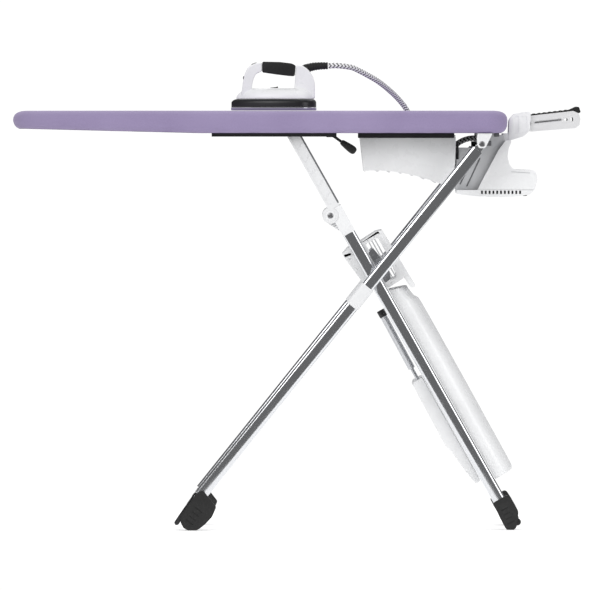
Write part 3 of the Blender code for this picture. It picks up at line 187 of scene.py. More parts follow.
# %% Hang three soft lamps and lay the floor
LAMPS = (("key", (-1.8, -3.2, 3.0), 2.0, 52.0), ("side", (2.6, -2.2, 1.6), 1.6, 18.0),
         ("top", (0.3, 1.6, 3.2), 2.4, 34.0))
for name, place, size, power in LAMPS:
    bpy.ops.object.light_add(type="AREA", location=place)
    lamp = bpy.context.object
    lamp.name = "lamp_" + name
    lamp.data.size = size
    lamp.data.energy = power
    lamp.rotation_euler = (Vector((0.0, 0.0, 0.6)) - Vector(place)).to_track_quat("-Z", "Y").to_euler()
FLOOR_RADIUS = 1.35
bpy.ops.mesh.primitive_circle_add(vertices=96, radius=FLOOR_RADIUS, fill_type="NGON",
                                  location=(0, 0, -0.0005))
floor = bpy.context.object
floor.name = "studio_floor"
floor_paint = bpy.data.materials.new("floor_paint")
floor_paint.use_nodes = True
floor_paint.node_tree.nodes["Principled BSDF"].inputs["Base Color"].default_value = (0.86, 0.86, 0.86, 1)
floor_paint.node_tree.nodes["Principled BSDF"].inputs["Roughness"].default_value = 0.9
floor_paint.node_tree.nodes["Principled BSDF"].inputs["Emission Color"].default_value = (1, 1, 1, 1)
floor_paint.node_tree.nodes["Principled BSDF"].inputs["Emission Strength"].default_value = 0.40
floor.data.materials.append(floor_paint)
print("lamps", len(LAMPS))

# %% [markdown]
# ## Finishes
#
# Every finish starts from the same three steps: a colour that drifts a little, a gloss that drifts a little,
# and a fine relief. What makes cotton or rubber of them is the scale and the strength. The patterns read
# Object coordinates, so a thread or a grain keeps its real size on every piece.

# %% A finish with drift and grain
materials = {}


def new_finish(name, colour, roughness, metallic=0.0):
    """A named material and its shader."""
    material = bpy.data.materials.new(name)
    material.use_nodes = True
    material.diffuse_color = (*colour, 1.0)
    shader = material.node_tree.nodes["Principled BSDF"]
    shader.inputs["Base Color"].default_value = (*colour, 1.0)
    shader.inputs["Roughness"].default_value = roughness
    shader.inputs["Metallic"].default_value = metallic
    materials[name] = material
    return material, shader


def add_noise(material, scale, detail=3.0, stretch=(1.0, 1.0, 1.0), turn=0.0):
    """Noise in metres on the piece; stretch and turn draw it out along a direction."""
    tree = material.node_tree
    where = tree.nodes.new("ShaderNodeTexCoord")
    placed = tree.nodes.new("ShaderNodeMapping")
    placed.inputs["Scale"].default_value = stretch
    placed.inputs["Rotation"].default_value = (0.0, turn, 0.0)
    noise = tree.nodes.new("ShaderNodeTexNoise")
    noise.inputs["Scale"].default_value = scale
    noise.inputs["Detail"].default_value = detail
    tree.links.new(where.outputs["Object"], placed.inputs["Vector"])
    tree.links.new(placed.outputs["Vector"], noise.inputs["Vector"])
    return noise


def drift_colour(material, shader, low, high, scale, source=None):
    """Base colour that wanders between two tones."""
    tree = material.node_tree
    noise = source or add_noise(material, scale).outputs["Fac"]
    tones = tree.nodes.new("ShaderNodeValToRGB")
    tones.color_ramp.elements[0].position = 0.35
    tones.color_ramp.elements[0].color = (*low, 1.0)
    tones.color_ramp.elements[1].position = 0.65
    tones.color_ramp.elements[1].color = (*high, 1.0)
    tree.links.new(noise, tones.inputs["Fac"])
    tree.links.new(tones.outputs["Color"], shader.inputs["Base Color"])


def drift_gloss(material, shader, low, high, scale, **how):
    """Roughness that wanders between two values, as handled surfaces do."""
    tree = material.node_tree
    noise = add_noise(material, scale, **how)
    span = tree.nodes.new("ShaderNodeMapRange")
    span.inputs["From Min"].default_value = 0.3
    span.inputs["From Max"].default_value = 0.7
    span.inputs["To Min"].default_value = low
    span.inputs["To Max"].default_value = high
    tree.links.new(noise.outputs["Fac"], span.inputs["Value"])
    tree.links.new(span.outputs["Result"], shader.inputs["Roughness"])


def relief(material, shader, height, depth, strength=1.0):
    """Bump of a real depth in metres from a height pattern."""
    tree = material.node_tree
    bump = tree.nodes.new("ShaderNodeBump")
    bump.inputs["Distance"].default_value = depth
    bump.inputs["Strength"].default_value = strength
    tree.links.new(height, bump.inputs["Height"])
    tree.links.new(bump.outputs["Normal"], shader.inputs["Normal"])


# %% Moulded plastics and rubber
def moulding(name, colour, roughness, grain_scale, grain_depth, drift=0.03):
    """Injection-moulded plastic: nearly even colour, soft gloss, a very fine skin."""
    material, shader = new_finish(name, colour, roughness)
    low = tuple(max(c * (1 - drift), 0.0) for c in colour)
    high = tuple(min(c * (1 + drift), 1.0) for c in colour)
    drift_colour(material, shader, low, high, 9.0)
    drift_gloss(material, shader, roughness * 0.85, roughness * 1.15, 30.0)
    relief(material, shader, add_noise(material, grain_scale, 4.0).outputs["Fac"], grain_depth, 0.5)
    return material


moulding("white_gloss_moulding", (0.86, 0.865, 0.875), 0.28, 900.0, 0.00004)
moulding("white_satin_moulding", (0.80, 0.805, 0.815), 0.42, 1400.0, 0.00008)
# Pale grey; on the generator housing this colour is painted shade for its recessed wall.
moulding("pale_grey_moulding", (0.52, 0.525, 0.54), 0.38, 1400.0, 0.00008)
# Dark grey; also the painted shade strip along the tail edge of the struts.
moulding("grey_moulding", (0.135, 0.137, 0.145), 0.5, 1500.0, 0.00012)
moulding("black_moulding", (0.014, 0.014, 0.016), 0.36, 1600.0, 0.0001, 0.15)
moulding("black_rubber", (0.012, 0.012, 0.012), 0.62, 1100.0, 0.0002, 0.2)
print("plastics", len(materials))

# %% Metals
def metal(name, colour, gloss_low, gloss_high, turn=None, metallic=1.0):
    """Plated or brushed metal; with a turn, fine drawing lines run along that slope."""
    material, shader = new_finish(name, colour, gloss_low, metallic)
    drift_gloss(material, shader, gloss_low, gloss_high, 14.0, detail=5.0)
    if turn is None:
        relief(material, shader, add_noise(material, 700.0, 2.0).outputs["Fac"], 0.00002, 0.3)
    else:
        lines = add_noise(material, 60.0, 4.0, (0.5, 40.0, 40.0), turn)
        relief(material, shader, lines.outputs["Fac"], 0.00003, 0.35)
    return material


LEG_A_SLOPE = math.atan2(DOWN_A.y, DOWN_A.x)
LEG_B_SLOPE = math.atan2(DOWN_B.y, DOWN_B.x)
metal("chrome_outer_leg", (0.72, 0.73, 0.75), 0.10, 0.17, LEG_A_SLOPE)
metal("chrome_inner_leg", (0.72, 0.73, 0.75), 0.10, 0.17, LEG_B_SLOPE)
metal("chrome_bar", (0.70, 0.71, 0.73), 0.12, 0.2)
metal("brushed_steel", (0.55, 0.56, 0.58), 0.26, 0.38, 0.0)
metal("pale_sheet_metal", (0.84, 0.84, 0.85), 0.34, 0.44, 0.0, 0.2)
metal("zinc_pin", (0.45, 0.45, 0.46), 0.3, 0.45)
metal("iron_sole", (0.62, 0.63, 0.66), 0.14, 0.24, 0.0)
metal("pump_brass", (0.62, 0.44, 0.17), 0.28, 0.42)

# %% [markdown]
# ### Cotton
#
# The cover is a plain weave. Two sets of fine stripes, one for the warp and one for the weft, are multiplied
# into little hills, which give the relief, and a coarse and a fine noise make the yarn uneven. Sheen gives
# the pale bloom that cloth has where it turns away.

# %% Cotton and elastic
WARP_SCALE = 330.0        # threads 0.95 mm apart


def woven(name, shade, light, sheen):
    """Plain-weave cloth between two tones."""
    material, shader = new_finish(name, light, 0.88)
    tree = material.node_tree
    where = tree.nodes.new("ShaderNodeTexCoord")
    stripes = []
    for keep in ((1.0, 0.0, 0.0), (0.0, 1.0, 1.0)):
        placed = tree.nodes.new("ShaderNodeMapping")
        placed.inputs["Scale"].default_value = keep
        wave = tree.nodes.new("ShaderNodeTexWave")
        wave.bands_direction = "DIAGONAL"
        wave.inputs["Scale"].default_value = WARP_SCALE
        wave.inputs["Distortion"].default_value = 0.6
        tree.links.new(where.outputs["Object"], placed.inputs["Vector"])
        tree.links.new(placed.outputs["Vector"], wave.inputs["Vector"])
        stripes.append(wave.outputs["Fac"])
    hills = tree.nodes.new("ShaderNodeMath")
    hills.operation = "MULTIPLY"
    tree.links.new(stripes[0], hills.inputs[0])
    tree.links.new(stripes[1], hills.inputs[1])
    relief(material, shader, hills.outputs["Value"], 0.0002, 0.4)
    coarse = add_noise(material, 7.0, 2.0)
    fine = add_noise(material, 420.0, 3.0)
    mixed = tree.nodes.new("ShaderNodeMath")
    mixed.operation = "MULTIPLY_ADD"
    mixed.inputs[1].default_value = 0.45
    halved = tree.nodes.new("ShaderNodeMath")
    halved.operation = "MULTIPLY"
    halved.inputs[1].default_value = 0.55
    tree.links.new(fine.outputs["Fac"], mixed.inputs[0])
    tree.links.new(coarse.outputs["Fac"], halved.inputs[0])
    tree.links.new(halved.outputs["Value"], mixed.inputs[2])
    drift_colour(material, shader, shade, light, 1.0, mixed.outputs["Value"])
    shader.inputs["Sheen Weight"].default_value = sheen
    shader.inputs["Sheen Roughness"].default_value = 0.5
    return material


woven("lavender_cotton", (0.275, 0.222, 0.385), (0.335, 0.275, 0.455), 0.12)
woven("purple_elastic", (0.085, 0.060, 0.135), (0.125, 0.092, 0.190), 0.1)
woven("cream_felt", (0.62, 0.60, 0.55), (0.72, 0.70, 0.65), 0.3)
print("finishes", len(materials))

# %% [markdown]
# ## The hose
#
# The hose comes first, because it is the one piece whose length is a promise. It leaves the iron straight,
# bows over the far edge of the board, and ends in a hung coil on the generator. A smooth curve is read
# through a few chosen points. The coil is a helix, one diameter of pitch to a turn.

# %% Route of the hose
HOSE_DIAMETER = 0.0135
HOSE_RADIUS = HOSE_DIAMETER / 2
HOSE_ROUTE = [(0.0782, 0.0000, 1.1297), (0.1000, 0.0008, 1.1302), (0.1250, 0.0090, 1.1275),
              (0.1407, 0.0180, 1.1238), (0.1720, 0.0460, 1.1082), (0.2032, 0.0850, 1.0900),
              (0.2345, 0.1500, 1.0650), (0.2563, 0.1930, 1.0432), (0.2720, 0.2180, 1.0220),
              (0.2830, 0.2270, 0.9960), (0.2900, 0.2250, 0.9700), (0.2980, 0.2130, 0.9450),
              (0.3120, 0.1940, 0.9350), (0.3300, 0.1750, 0.9280), (0.3480, 0.1640, 0.9130),
              (0.3610, 0.1600, 0.8920)]
COIL_CENTRE = (0.4370, 0.8850)
COIL_RADIUS = 0.0675
COIL_LANE = 0.11525
COIL_IN = math.radians(195.0)
COIL_TURNS = 3 + 75 / 360
GLAND_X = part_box("hose_gland")[0].x
lane_in = COIL_LANE + COIL_TURNS * HOSE_DIAMETER


def coil_point(angle, y):
    return (COIL_CENTRE[0] + COIL_RADIUS * math.cos(angle), y, COIL_CENTRE[1] + COIL_RADIUS * math.sin(angle))


def smooth_path(points, spacing):
    """Evenly spaced points on a smooth curve through the given ones."""
    knots = [Vector(p) for p in points]
    fine = []
    for i in range(len(knots) - 1):
        before = knots[i - 1] if i else knots[0] * 2 - knots[1]
        after = knots[i + 2] if i + 2 < len(knots) else knots[-1] * 2 - knots[-2]
        for j in range(24):
            t = j / 24
            fine.append(0.5 * (2 * knots[i] + (knots[i + 1] - before) * t
                               + (2 * before - 5 * knots[i] + 4 * knots[i + 1] - after) * t ** 2
                               + (3 * knots[i] - before - 3 * knots[i + 1] + after) * t ** 3))
    fine.append(knots[-1])
    result = [fine[0]]
    walked = 0.0
    for a, b in zip(fine, fine[1:]):
        walked += (b - a).length
        if walked >= spacing:
            result.append(b)
            walked = 0.0
    if (result[-1] - knots[-1]).length > spacing / 2:
        result.append(knots[-1])
    return result


COIL_STEPS = round(COIL_TURNS * 48)
helix = []
for i in range(COIL_STEPS + 1):
    turned = COIL_TURNS * i / COIL_STEPS
    helix.append(Vector(coil_point(COIL_IN + math.tau * turned, lane_in - HOSE_DIAMETER * turned)))
tail_z = COIL_CENTRE[1] - COIL_RADIUS
tail = [Vector((COIL_CENTRE[0] + (GLAND_X - COIL_CENTRE[0]) * i / 6, COIL_LANE, tail_z)) for i in range(1, 7)]
hose_path = smooth_path(HOSE_ROUTE + [coil_point(COIL_IN, lane_in)], 0.006) + helix[1:] + tail

# %% [markdown]
# ### Braid
#
# The braid is drawn in the hose's own coordinates: U runs along it in diameters and V once round it. Adding
# the folded V to U bends straight rings into chevrons, and a fine pair of slanted waves gives the strands
# their relief.

# %% Braided finish
braid, braid_shader = new_finish("hose_braid", (0.75, 0.75, 0.77), 0.7)
tree = braid.node_tree
hose_uv = tree.nodes.new("ShaderNodeUVMap")
hose_uv.uv_map = "hose"
hose_uv_parts = tree.nodes.new("ShaderNodeSeparateXYZ")
tree.links.new(hose_uv.outputs["UV"], hose_uv_parts.inputs[0])


def sum_of(first, a, second, b):
    """first * a + second * b, of which only the part after the point is kept."""
    left = tree.nodes.new("ShaderNodeMath")
    left.operation = "MULTIPLY"
    left.inputs[1].default_value = a
    tree.links.new(first, left.inputs[0])
    both = tree.nodes.new("ShaderNodeMath")
    both.operation = "MULTIPLY_ADD"
    both.inputs[1].default_value = b
    tree.links.new(second, both.inputs[0])
    tree.links.new(left.outputs["Value"], both.inputs[2])
    last = tree.nodes.new("ShaderNodeMath")
    last.operation = "FRACT"
    tree.links.new(both.outputs["Value"], last.inputs[0])
    return last.outputs["Value"]


folded = tree.nodes.new("ShaderNodeMath")
folded.operation = "PINGPONG"
folded.inputs[1].default_value = 0.125
tree.links.new(hose_uv_parts.outputs["Y"], folded.inputs[0])
chevron = sum_of(hose_uv_parts.outputs["X"], 1.55, folded.outputs["Value"], 5.0)
strand_a = sum_of(hose_uv_parts.outputs["X"], 4.0, hose_uv_parts.outputs["Y"], 16.0)
strand_b = sum_of(hose_uv_parts.outputs["X"], 4.0, hose_uv_parts.outputs["Y"], -16.0)
chevron_tones = tree.nodes.new("ShaderNodeValToRGB")
chevron_tones.color_ramp.interpolation = "CONSTANT"
chevron_tones.color_ramp.elements[0].color = (0.88, 0.88, 0.89, 1.0)
chevron_tones.color_ramp.elements[1].position = 0.62
chevron_tones.color_ramp.elements[1].color = (0.010, 0.010, 0.011, 1.0)
tree.links.new(chevron, chevron_tones.inputs["Fac"])
tree.links.new(chevron_tones.outputs["Color"], braid_shader.inputs["Base Color"])
crossed = tree.nodes.new("ShaderNodeMath")
crossed.operation = "MULTIPLY"
for slot_number, strand in enumerate((strand_a, strand_b)):
    rounded = tree.nodes.new("ShaderNodeMath")
    rounded.operation = "PINGPONG"
    rounded.inputs[1].default_value = 0.5
    tree.links.new(strand, rounded.inputs[0])
    tree.links.new(rounded.outputs["Value"], crossed.inputs[slot_number])
relief(braid, braid_shader, crossed.outputs["Value"], 0.0008, 0.7)

# %% Sweep the hose along its path
HOSE_SIDES = 20


def swept_tube(name, path, radius, sides):
    """A mesh tube with UVs: U in diameters along the path, V once round it."""
    tube = bmesh.new()
    uv_layer = tube.loops.layers.uv.new("hose")
    rings = []
    along = []
    side = None
    travelled = 0.0
    for i, point in enumerate(path):
        tangent = (path[min(i + 1, len(path) - 1)] - path[max(i - 1, 0)]).normalized()
        side = (side or Vector((0, 0, 1)).cross(tangent)) - tangent * (side.dot(tangent) if side else 0.0)
        side.normalize()
        rise = tangent.cross(side)
        travelled += (point - path[i - 1]).length if i else 0.0
        along.append(travelled / (2 * radius))
        turns = [math.tau * k / sides for k in range(sides)]
        rings.append([tube.verts.new(point + side * (radius * math.cos(turn))
                                     + rise * (radius * math.sin(turn))) for turn in turns])
    for i in range(len(rings) - 1):
        for k in range(sides):
            m = (k + 1) % sides
            face = tube.faces.new((rings[i][k], rings[i][m], rings[i + 1][m], rings[i + 1][k]))
            face.smooth = True
            for loop, (u, v) in zip(face.loops, ((along[i], k), (along[i], k + 1), (along[i + 1], k + 1),
                                                 (along[i + 1], k))):
                loop[uv_layer].uv = (u, v / sides)
    tube.faces.new(list(reversed(rings[0])))
    tube.faces.new(rings[-1])
    bmesh.ops.recalc_face_normals(tube, faces=tube.faces)
    mesh = bpy.data.meshes.new(name)
    tube.to_mesh(mesh)
    tube.free()
    piece = bpy.data.objects.new(name, mesh)
    bpy.context.scene.collection.objects.link(piece)
    return piece


hose = swept_tube("steam_hose", hose_path, HOSE_RADIUS, HOSE_SIDES)
hose.data.materials.append(braid)
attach(hose, "board")
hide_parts("hose_run", "hose_coil")
print(hose.name, len(hose.data.polygons), "faces")

# %% [markdown]
# ## Tools for shaping
#
# Most pieces here start as a ring that is dragged to an outline and then extruded, ring by ring. That is how
# one would do it by hand: extrude, move the new ring, extrude again. `filleted` draws an outline from its
# corners with a radius at each, and `settle` hands the finished piece to its body of the machine.

# %% Outline with round corners


def filleted(corners, steps=6):
    """Corners (x, z, radius) as an outline whose corners are arcs."""
    outline = []
    count = len(corners)
    for i, (x, z, radius) in enumerate(corners):
        here = Vector((x, z))
        before = Vector(corners[i - 1][:2]) - here
        after = Vector(corners[(i + 1) % count][:2]) - here
        if radius <= 0:
            outline.append((x, z))
            continue
        half = before.angle(after) / 2
        reach = min(radius / math.tan(half), before.length * 0.48, after.length * 0.48)
        radius = reach * math.tan(half)
        start = here + before.normalized() * reach
        end = here + after.normalized() * reach
        centre = here + (before.normalized() + after.normalized()).normalized() * (radius / math.sin(half))
        first = start - centre
        sweep = first.angle_signed(end - centre)
        for k in range(steps + 1):
            a = -sweep * k / steps
            outline.append((centre.x + first.x * math.cos(a) - first.y * math.sin(a),
                            centre.y + first.x * math.sin(a) + first.y * math.cos(a)))
    return outline


def circle(centre, radius, sides=32):
    return [(centre[0] + radius * math.cos(math.tau * i / sides),
             centre[1] + radius * math.sin(math.tau * i / sides)) for i in range(sides)]


# %% Extrude a ring into a solid


def only(*pieces):
    """Select just these pieces, with the first active."""
    if bpy.context.mode != "OBJECT":
        bpy.ops.object.mode_set(mode="OBJECT")
    bpy.ops.object.select_all(action="DESELECT")
    for piece in pieces:
        piece.select_set(True)
    bpy.context.view_layer.objects.active = pieces[0]


def stack(name, rings, open_ends=False):
    """A solid raised ring by ring; each new ring is extruded from the last and dragged to its place."""
    bpy.ops.object.select_all(action="DESELECT")
    bpy.ops.mesh.primitive_circle_add(vertices=len(rings[0]), fill_type="NGON")
    piece = bpy.context.object
    piece.name = name
    for vertex, place in zip(piece.data.vertices, rings[0]):
        vertex.co = place
    bpy.ops.object.mode_set(mode="EDIT")
    bpy.ops.mesh.select_mode(type="FACE")
    bpy.ops.mesh.select_all(action="SELECT")
    for below, above in zip(rings, rings[1:]):
        bpy.ops.mesh.extrude_region_move()
        shape = bmesh.from_edit_mesh(piece.data)
        targets = [Vector(place) for place in below]
        for vertex in [v for v in shape.verts if v.select]:
            i = min(range(len(targets)), key=lambda k: (targets[k] - vertex.co).length_squared)
            vertex.co = above[i]
        bmesh.update_edit_mesh(piece.data)
    if open_ends:
        shape = bmesh.from_edit_mesh(piece.data)
        bmesh.ops.delete(shape, geom=[f for f in shape.faces if len(f.verts) > 4], context="FACES_ONLY")
        bmesh.update_edit_mesh(piece.data)
    bpy.ops.mesh.select_all(action="SELECT")
    bpy.ops.mesh.normals_make_consistent(inside=False)
    bpy.ops.object.mode_set(mode="OBJECT")
    return piece


def slab(name, outline, y0, y1):
    """An outline in X and Z pulled out along Y."""
    return stack(name, [[(x, y0, z) for x, z in outline], [(x, y1, z) for x, z in outline]])


# %% Modifiers and booleans, applied at once


def apply_modifier(piece, kind, **settings):
    only(piece)
    bpy.ops.object.modifier_add(type=kind)
    modifier = piece.modifiers[-1]
    for key, value in settings.items():
        setattr(modifier, key, value)
    bpy.ops.object.modifier_apply(modifier=modifier.name)


def soften(piece, width, segments=3, angle=38.0):
    """Round the edges that turn by more than the angle, and shade the rest smooth."""
    apply_modifier(piece, "BEVEL", width=width, segments=segments, limit_method="ANGLE",
                   angle_limit=math.radians(angle), harden_normals=False)
    only(piece)
    bpy.ops.object.shade_smooth_by_angle(angle=math.radians(34.0))


def combine(piece, tool, operation):
    """Add or take away another solid, which is used up."""
    apply_modifier(piece, "BOOLEAN", operation=operation, object=tool, solver="EXACT")
    bpy.data.objects.remove(tool)


def take_away(piece, tool):
    combine(piece, tool, "DIFFERENCE")


def add_on(piece, tool):
    combine(piece, tool, "UNION")


def melt(piece, voxel, passes):
    """Fuse overlapping shapes into one skin with soft fillets, as a moulding has."""
    apply_modifier(piece, "REMESH", mode="VOXEL", voxel_size=voxel)
    apply_modifier(piece, "SMOOTH", factor=0.5, iterations=passes)
    only(piece)
    bpy.ops.object.shade_smooth()


def settle(piece, body, slot, finish, *nodes):
    """Give the finished piece its material, its body and the plain solids that it stands for."""
    piece.data.materials.clear()
    piece.data.materials.append(materials[finish])
    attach(piece, body)
    if nodes:
        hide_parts(*nodes)
    print(piece.name, len(piece.data.polygons), "faces")
    return piece


def softened_copy(node, name, width):
    """A working copy of a plain solid: merged, its flat faces made whole, its edges rounded."""
    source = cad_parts[node]
    piece = bpy.data.objects.new(name, source.data.copy())
    bpy.context.scene.collection.objects.link(piece)
    only(piece)
    bpy.ops.object.mode_set(mode="EDIT")
    bpy.ops.mesh.select_all(action="SELECT")
    bpy.ops.mesh.remove_doubles(threshold=0.00001)
    bpy.ops.mesh.dissolve_limited(angle_limit=math.radians(1.0))
    bpy.ops.object.mode_set(mode="OBJECT")
    apply_modifier(piece, "BEVEL", width=width, segments=2, limit_method="ANGLE",
                   angle_limit=math.radians(38.0), use_clamp_overlap=True)
    only(piece)
    bpy.ops.object.shade_smooth_by_angle(angle=math.radians(34.0))
    return piece

# %% [markdown]
# ## The padded board
#
# Seen from above the board is one closed line: straight sides, a long elliptical nose and rounded corners at
# the tail. The cover is that line repeated at several heights, over the top, down the side and under the
# lower edge. The cloth is taut on top and gathers a little where the elastic pulls it under, so only the
# lower rings get wrinkles, and those are small moves of the points along the edge.

# %% Plan and depth of the board
TAIL_RADIUS = 0.060
NOSE_TAPER = 0.420
BOARD_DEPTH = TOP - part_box("board_cover")[0].z
NOSE_THINNING = 0.0105
THINNING_START = 0.46
THINNING_END = 0.07
THINNING_LIMIT = 1.1
SOFTENED_THINNING = 0.905
PLAN_POINTS = 300


def board_plan(inset):
    """Evenly spaced points round the board, drawn in by inset."""
    corners = []
    straight_end = NOSE + NOSE_TAPER
    for i in range(9):
        a = math.pi / 2 * i / 8
        corners.append(Vector((TAIL - TAIL_RADIUS + (TAIL_RADIUS - inset) * math.cos(a),
                               BOARD_HALF - TAIL_RADIUS + (TAIL_RADIUS - inset) * math.sin(a))))
    for i in range(41):
        a = math.pi / 2 * i / 40
        corners.append(Vector((straight_end - (NOSE_TAPER - inset) * math.sin(a),
                               (BOARD_HALF - inset) * math.cos(a))))
    corners += [Vector((p.x, -p.y)) for p in reversed(corners[:-1])]
    corners.append(corners[0])
    total = sum((b - a).length for a, b in zip(corners, corners[1:]))
    points = []
    walked = 0.0
    k = 0
    for i in range(PLAN_POINTS):
        target = total * i / PLAN_POINTS
        while walked + (corners[k + 1] - corners[k]).length < target:
            walked += (corners[k + 1] - corners[k]).length
            k += 1
        step = (corners[k + 1] - corners[k]).length
        points.append(corners[k].lerp(corners[k + 1], (target - walked) / max(step, 1e-9)))
    return points


def board_depth(x):
    """Height of the board's side, which gets lower towards the nose."""
    start = NOSE + THINNING_START
    end = NOSE + THINNING_END
    share = min(max((start - x) / (start - end), 0.0), THINNING_LIMIT)
    return BOARD_DEPTH - NOSE_THINNING * share * SOFTENED_THINNING


def board_ring(inset, drop, from_below=False, wrinkle=0.0):
    """A level ring of the board, from the top or from the lower edge; wrinkle puckers it."""
    ring = []
    for i, point in enumerate(board_plan(inset)):
        z = TOP - board_depth(point.x) + drop if from_below else TOP - drop
        a = math.tau * i / PLAN_POINTS
        pucker = math.sin(37 * a + 2.0 * math.sin(5 * a)) * 0.6 + math.sin(71 * a + 1.3) * 0.4
        if wrinkle:
            z += wrinkle * pucker
        ring.append((point.x, point.y, z))
    return ring


# %% Sew the cover
COVER_RINGS = ((0.060, 0.0003, False, 0.0), (0.032, 0.0004, False, 0.0), (0.021, 0.0014, False, 0.0),
               (0.0135, 0.0036, False, 0.0), (0.0085, 0.0064, False, 0.0), (0.0042, 0.0105, False, 0.0),
               (0.0014, 0.0165, False, 0.0002), (0.0003, 0.0230, False, 0.0002),
               (0.0010, 0.0170, True, 0.0005), (0.0038, 0.0095, True, 0.0008),
               (0.0075, 0.0050, True, 0.0007), (0.0120, 0.0018, True, 0.0004),
               (0.0160, 0.0005, True, 0.0002), (0.0200, 0.0006, True, 0.0004))
cover = stack("cotton_cover", [board_ring(*row) for row in COVER_RINGS])
shape = bmesh.new()
shape.from_mesh(cover.data)
lowest = min((f for f in shape.faces if len(f.verts) > 4), key=lambda f: f.calc_center_median().z)
bmesh.ops.delete(shape, geom=[lowest], context="FACES_ONLY")
shape.to_mesh(cover.data)
shape.free()
apply_modifier(cover, "SOLIDIFY", thickness=0.0009, offset=-1.0)
only(cover)
bpy.ops.object.shade_smooth_by_angle(angle=math.radians(40.0))
settle(cover, "board", "cover", "lavender_cotton", "board_cover")

# %% [markdown]
# The pad under the cover is felt: a closed, slightly crowned form, thinner at its rim. The cover ends in a
# narrow purple elastic hem that runs round under the lower edge.

# %% Lay the felt pad and the elastic hem
pad = stack("felt_pad", [board_ring(0.0190, 0.0084), board_ring(0.0125, 0.0078), board_ring(0.0122, 0.0064),
                         board_ring(0.0165, 0.0044), board_ring(0.0230, 0.0032), board_ring(0.0500, 0.0026)])
only(pad)
bpy.ops.object.shade_smooth_by_angle(angle=math.radians(40.0))
settle(pad, "board", "felt", "cream_felt", "board_pad")


def hem_ring(inset, drop):
    return board_ring(inset, drop, True)


hem = stack("elastic_hem", [hem_ring(0.0150, 0.0026), hem_ring(0.0215, 0.0026), hem_ring(0.0228, 0.0012),
                            hem_ring(0.0215, 0.0000), hem_ring(0.0150, 0.0000)], open_ends=True)
shape = bmesh.new()
shape.from_mesh(hem.data)
bmesh.ops.bridge_loops(shape, edges=[e for e in shape.edges if e.is_boundary])
bmesh.ops.recalc_face_normals(shape, faces=shape.faces)
shape.to_mesh(hem.data)
shape.free()
only(hem)
bpy.ops.object.shade_smooth()
settle(hem, "board", "cover", "purple_elastic")

# %% [markdown]
# ## Chromed legs
#
# Each leg is a flat oval tube. A cylinder is squashed to that section, its ends are opened and a wall is
# given by Solidify. Only the outer tubes carry a tongue at the top, which turns on the pin of its bracket.

# %% Draw the tubes
TUBE_WIDE = 0.0306
TUBE_THICK = 0.018


def oval_section(wide, thick, sides=36):
    """A flat oval: straight-ish flanks with round edges."""
    section = []
    for i in range(sides):
        a = math.tau * i / sides
        section.append((wide / 2 * math.copysign(abs(math.cos(a)) ** 0.75, math.cos(a)),
                        thick / 2 * math.copysign(abs(math.sin(a)) ** 0.75, math.sin(a))))
    return section


def leg_ring(place, s, y, section):
    return [(place(s, n)[0], y + dy, place(s, n)[1]) for n, dy in section]


def leg_tube(name, place, start, end, y, wide, thick, wall):
    """An open tube along a leg, with its ends turned in a touch."""
    lip = 0.0008
    rows = ((start, -lip), (start + lip, 0.0), (end - lip, 0.0), (end, -lip))
    rings = [leg_ring(place, s, y, oval_section(wide + 2 * grow, thick + 2 * grow)) for s, grow in rows]
    piece = stack(name, rings, open_ends=True)
    apply_modifier(piece, "SOLIDIFY", thickness=wall, offset=-1.0)
    only(piece)
    bpy.ops.object.shade_smooth_by_angle(angle=math.radians(34.0))
    return piece


LEG_A_TOP = -(CROSS - PIVOT).length
FOOT_A_S = (FOOT_A - CROSS).length
FOOT_B_S = (FOOT_B - CROSS).length
tongue_outline = filleted([(*on_a(LEG_A_TOP + 0.048, -0.0140), 0), (*on_a(LEG_A_TOP + 0.048, 0.0140), 0),
                           (*on_a(LEG_A_TOP + 0.010, 0.0095), 0.01),
                           (*on_a(LEG_A_TOP - 0.0100, 0.0088), 0.008),
                           (*on_a(LEG_A_TOP - 0.0100, -0.0088), 0.008),
                           (*on_a(LEG_A_TOP + 0.010, -0.0095), 0.01)])
for side, sign in SIDES:
    y = sign * LEG_A_Y
    tube = leg_tube("outer_leg_" + side, on_a, LEG_A_TOP + 0.0175, FOOT_A_S - 0.010, y, TUBE_WIDE,
                    TUBE_THICK, 0.0014)
    settle(tube, "outer_legs", "chrome", "chrome_outer_leg", "leg_a_tube_" + side)
    tongue = slab("pivot_tongue_" + side, tongue_outline, y - 0.0045, y + 0.0045)
    take_away(tongue, slab("bore", circle(PIVOT, 0.0054), y - 0.01, y + 0.01))
    soften(tongue, 0.0008, 2)
    settle(tongue, "outer_legs", "chrome", "chrome_outer_leg")
    sleeve = leg_tube("leg_sleeve_" + side, on_a, 0.026, 0.087, y, TUBE_WIDE + 0.0046, TUBE_THICK + 0.0046,
                      0.0018)
    settle(sleeve, "outer_legs", "white_plastic", "white_satin_moulding", "leg_a_sleeve_" + side)
    y = sign * LEG_B_Y
    tube = leg_tube("inner_leg_" + side, on_b, -0.160, FOOT_B_S - 0.012, y, TUBE_WIDE, TUBE_THICK, 0.0014)
    settle(tube, "inner_legs", "chrome", "chrome_inner_leg", "leg_b_tube_" + side)

# %% [markdown]
# ## Bars and axles
#
# Turned steel: a cylinder, its rims chamfered. The knee axle ends in cross-head screws, whose slots are two
# small bars taken away from the head. The crossing axle ends flush in the outer tubes.

# %% Turn the bars
def along_y(name, centre, radius, y0, y1, chamfer=0.0006, sides=32):
    piece = slab(name, circle(centre, radius, sides), y0, y1)
    soften(piece, chamfer, 2)
    return piece


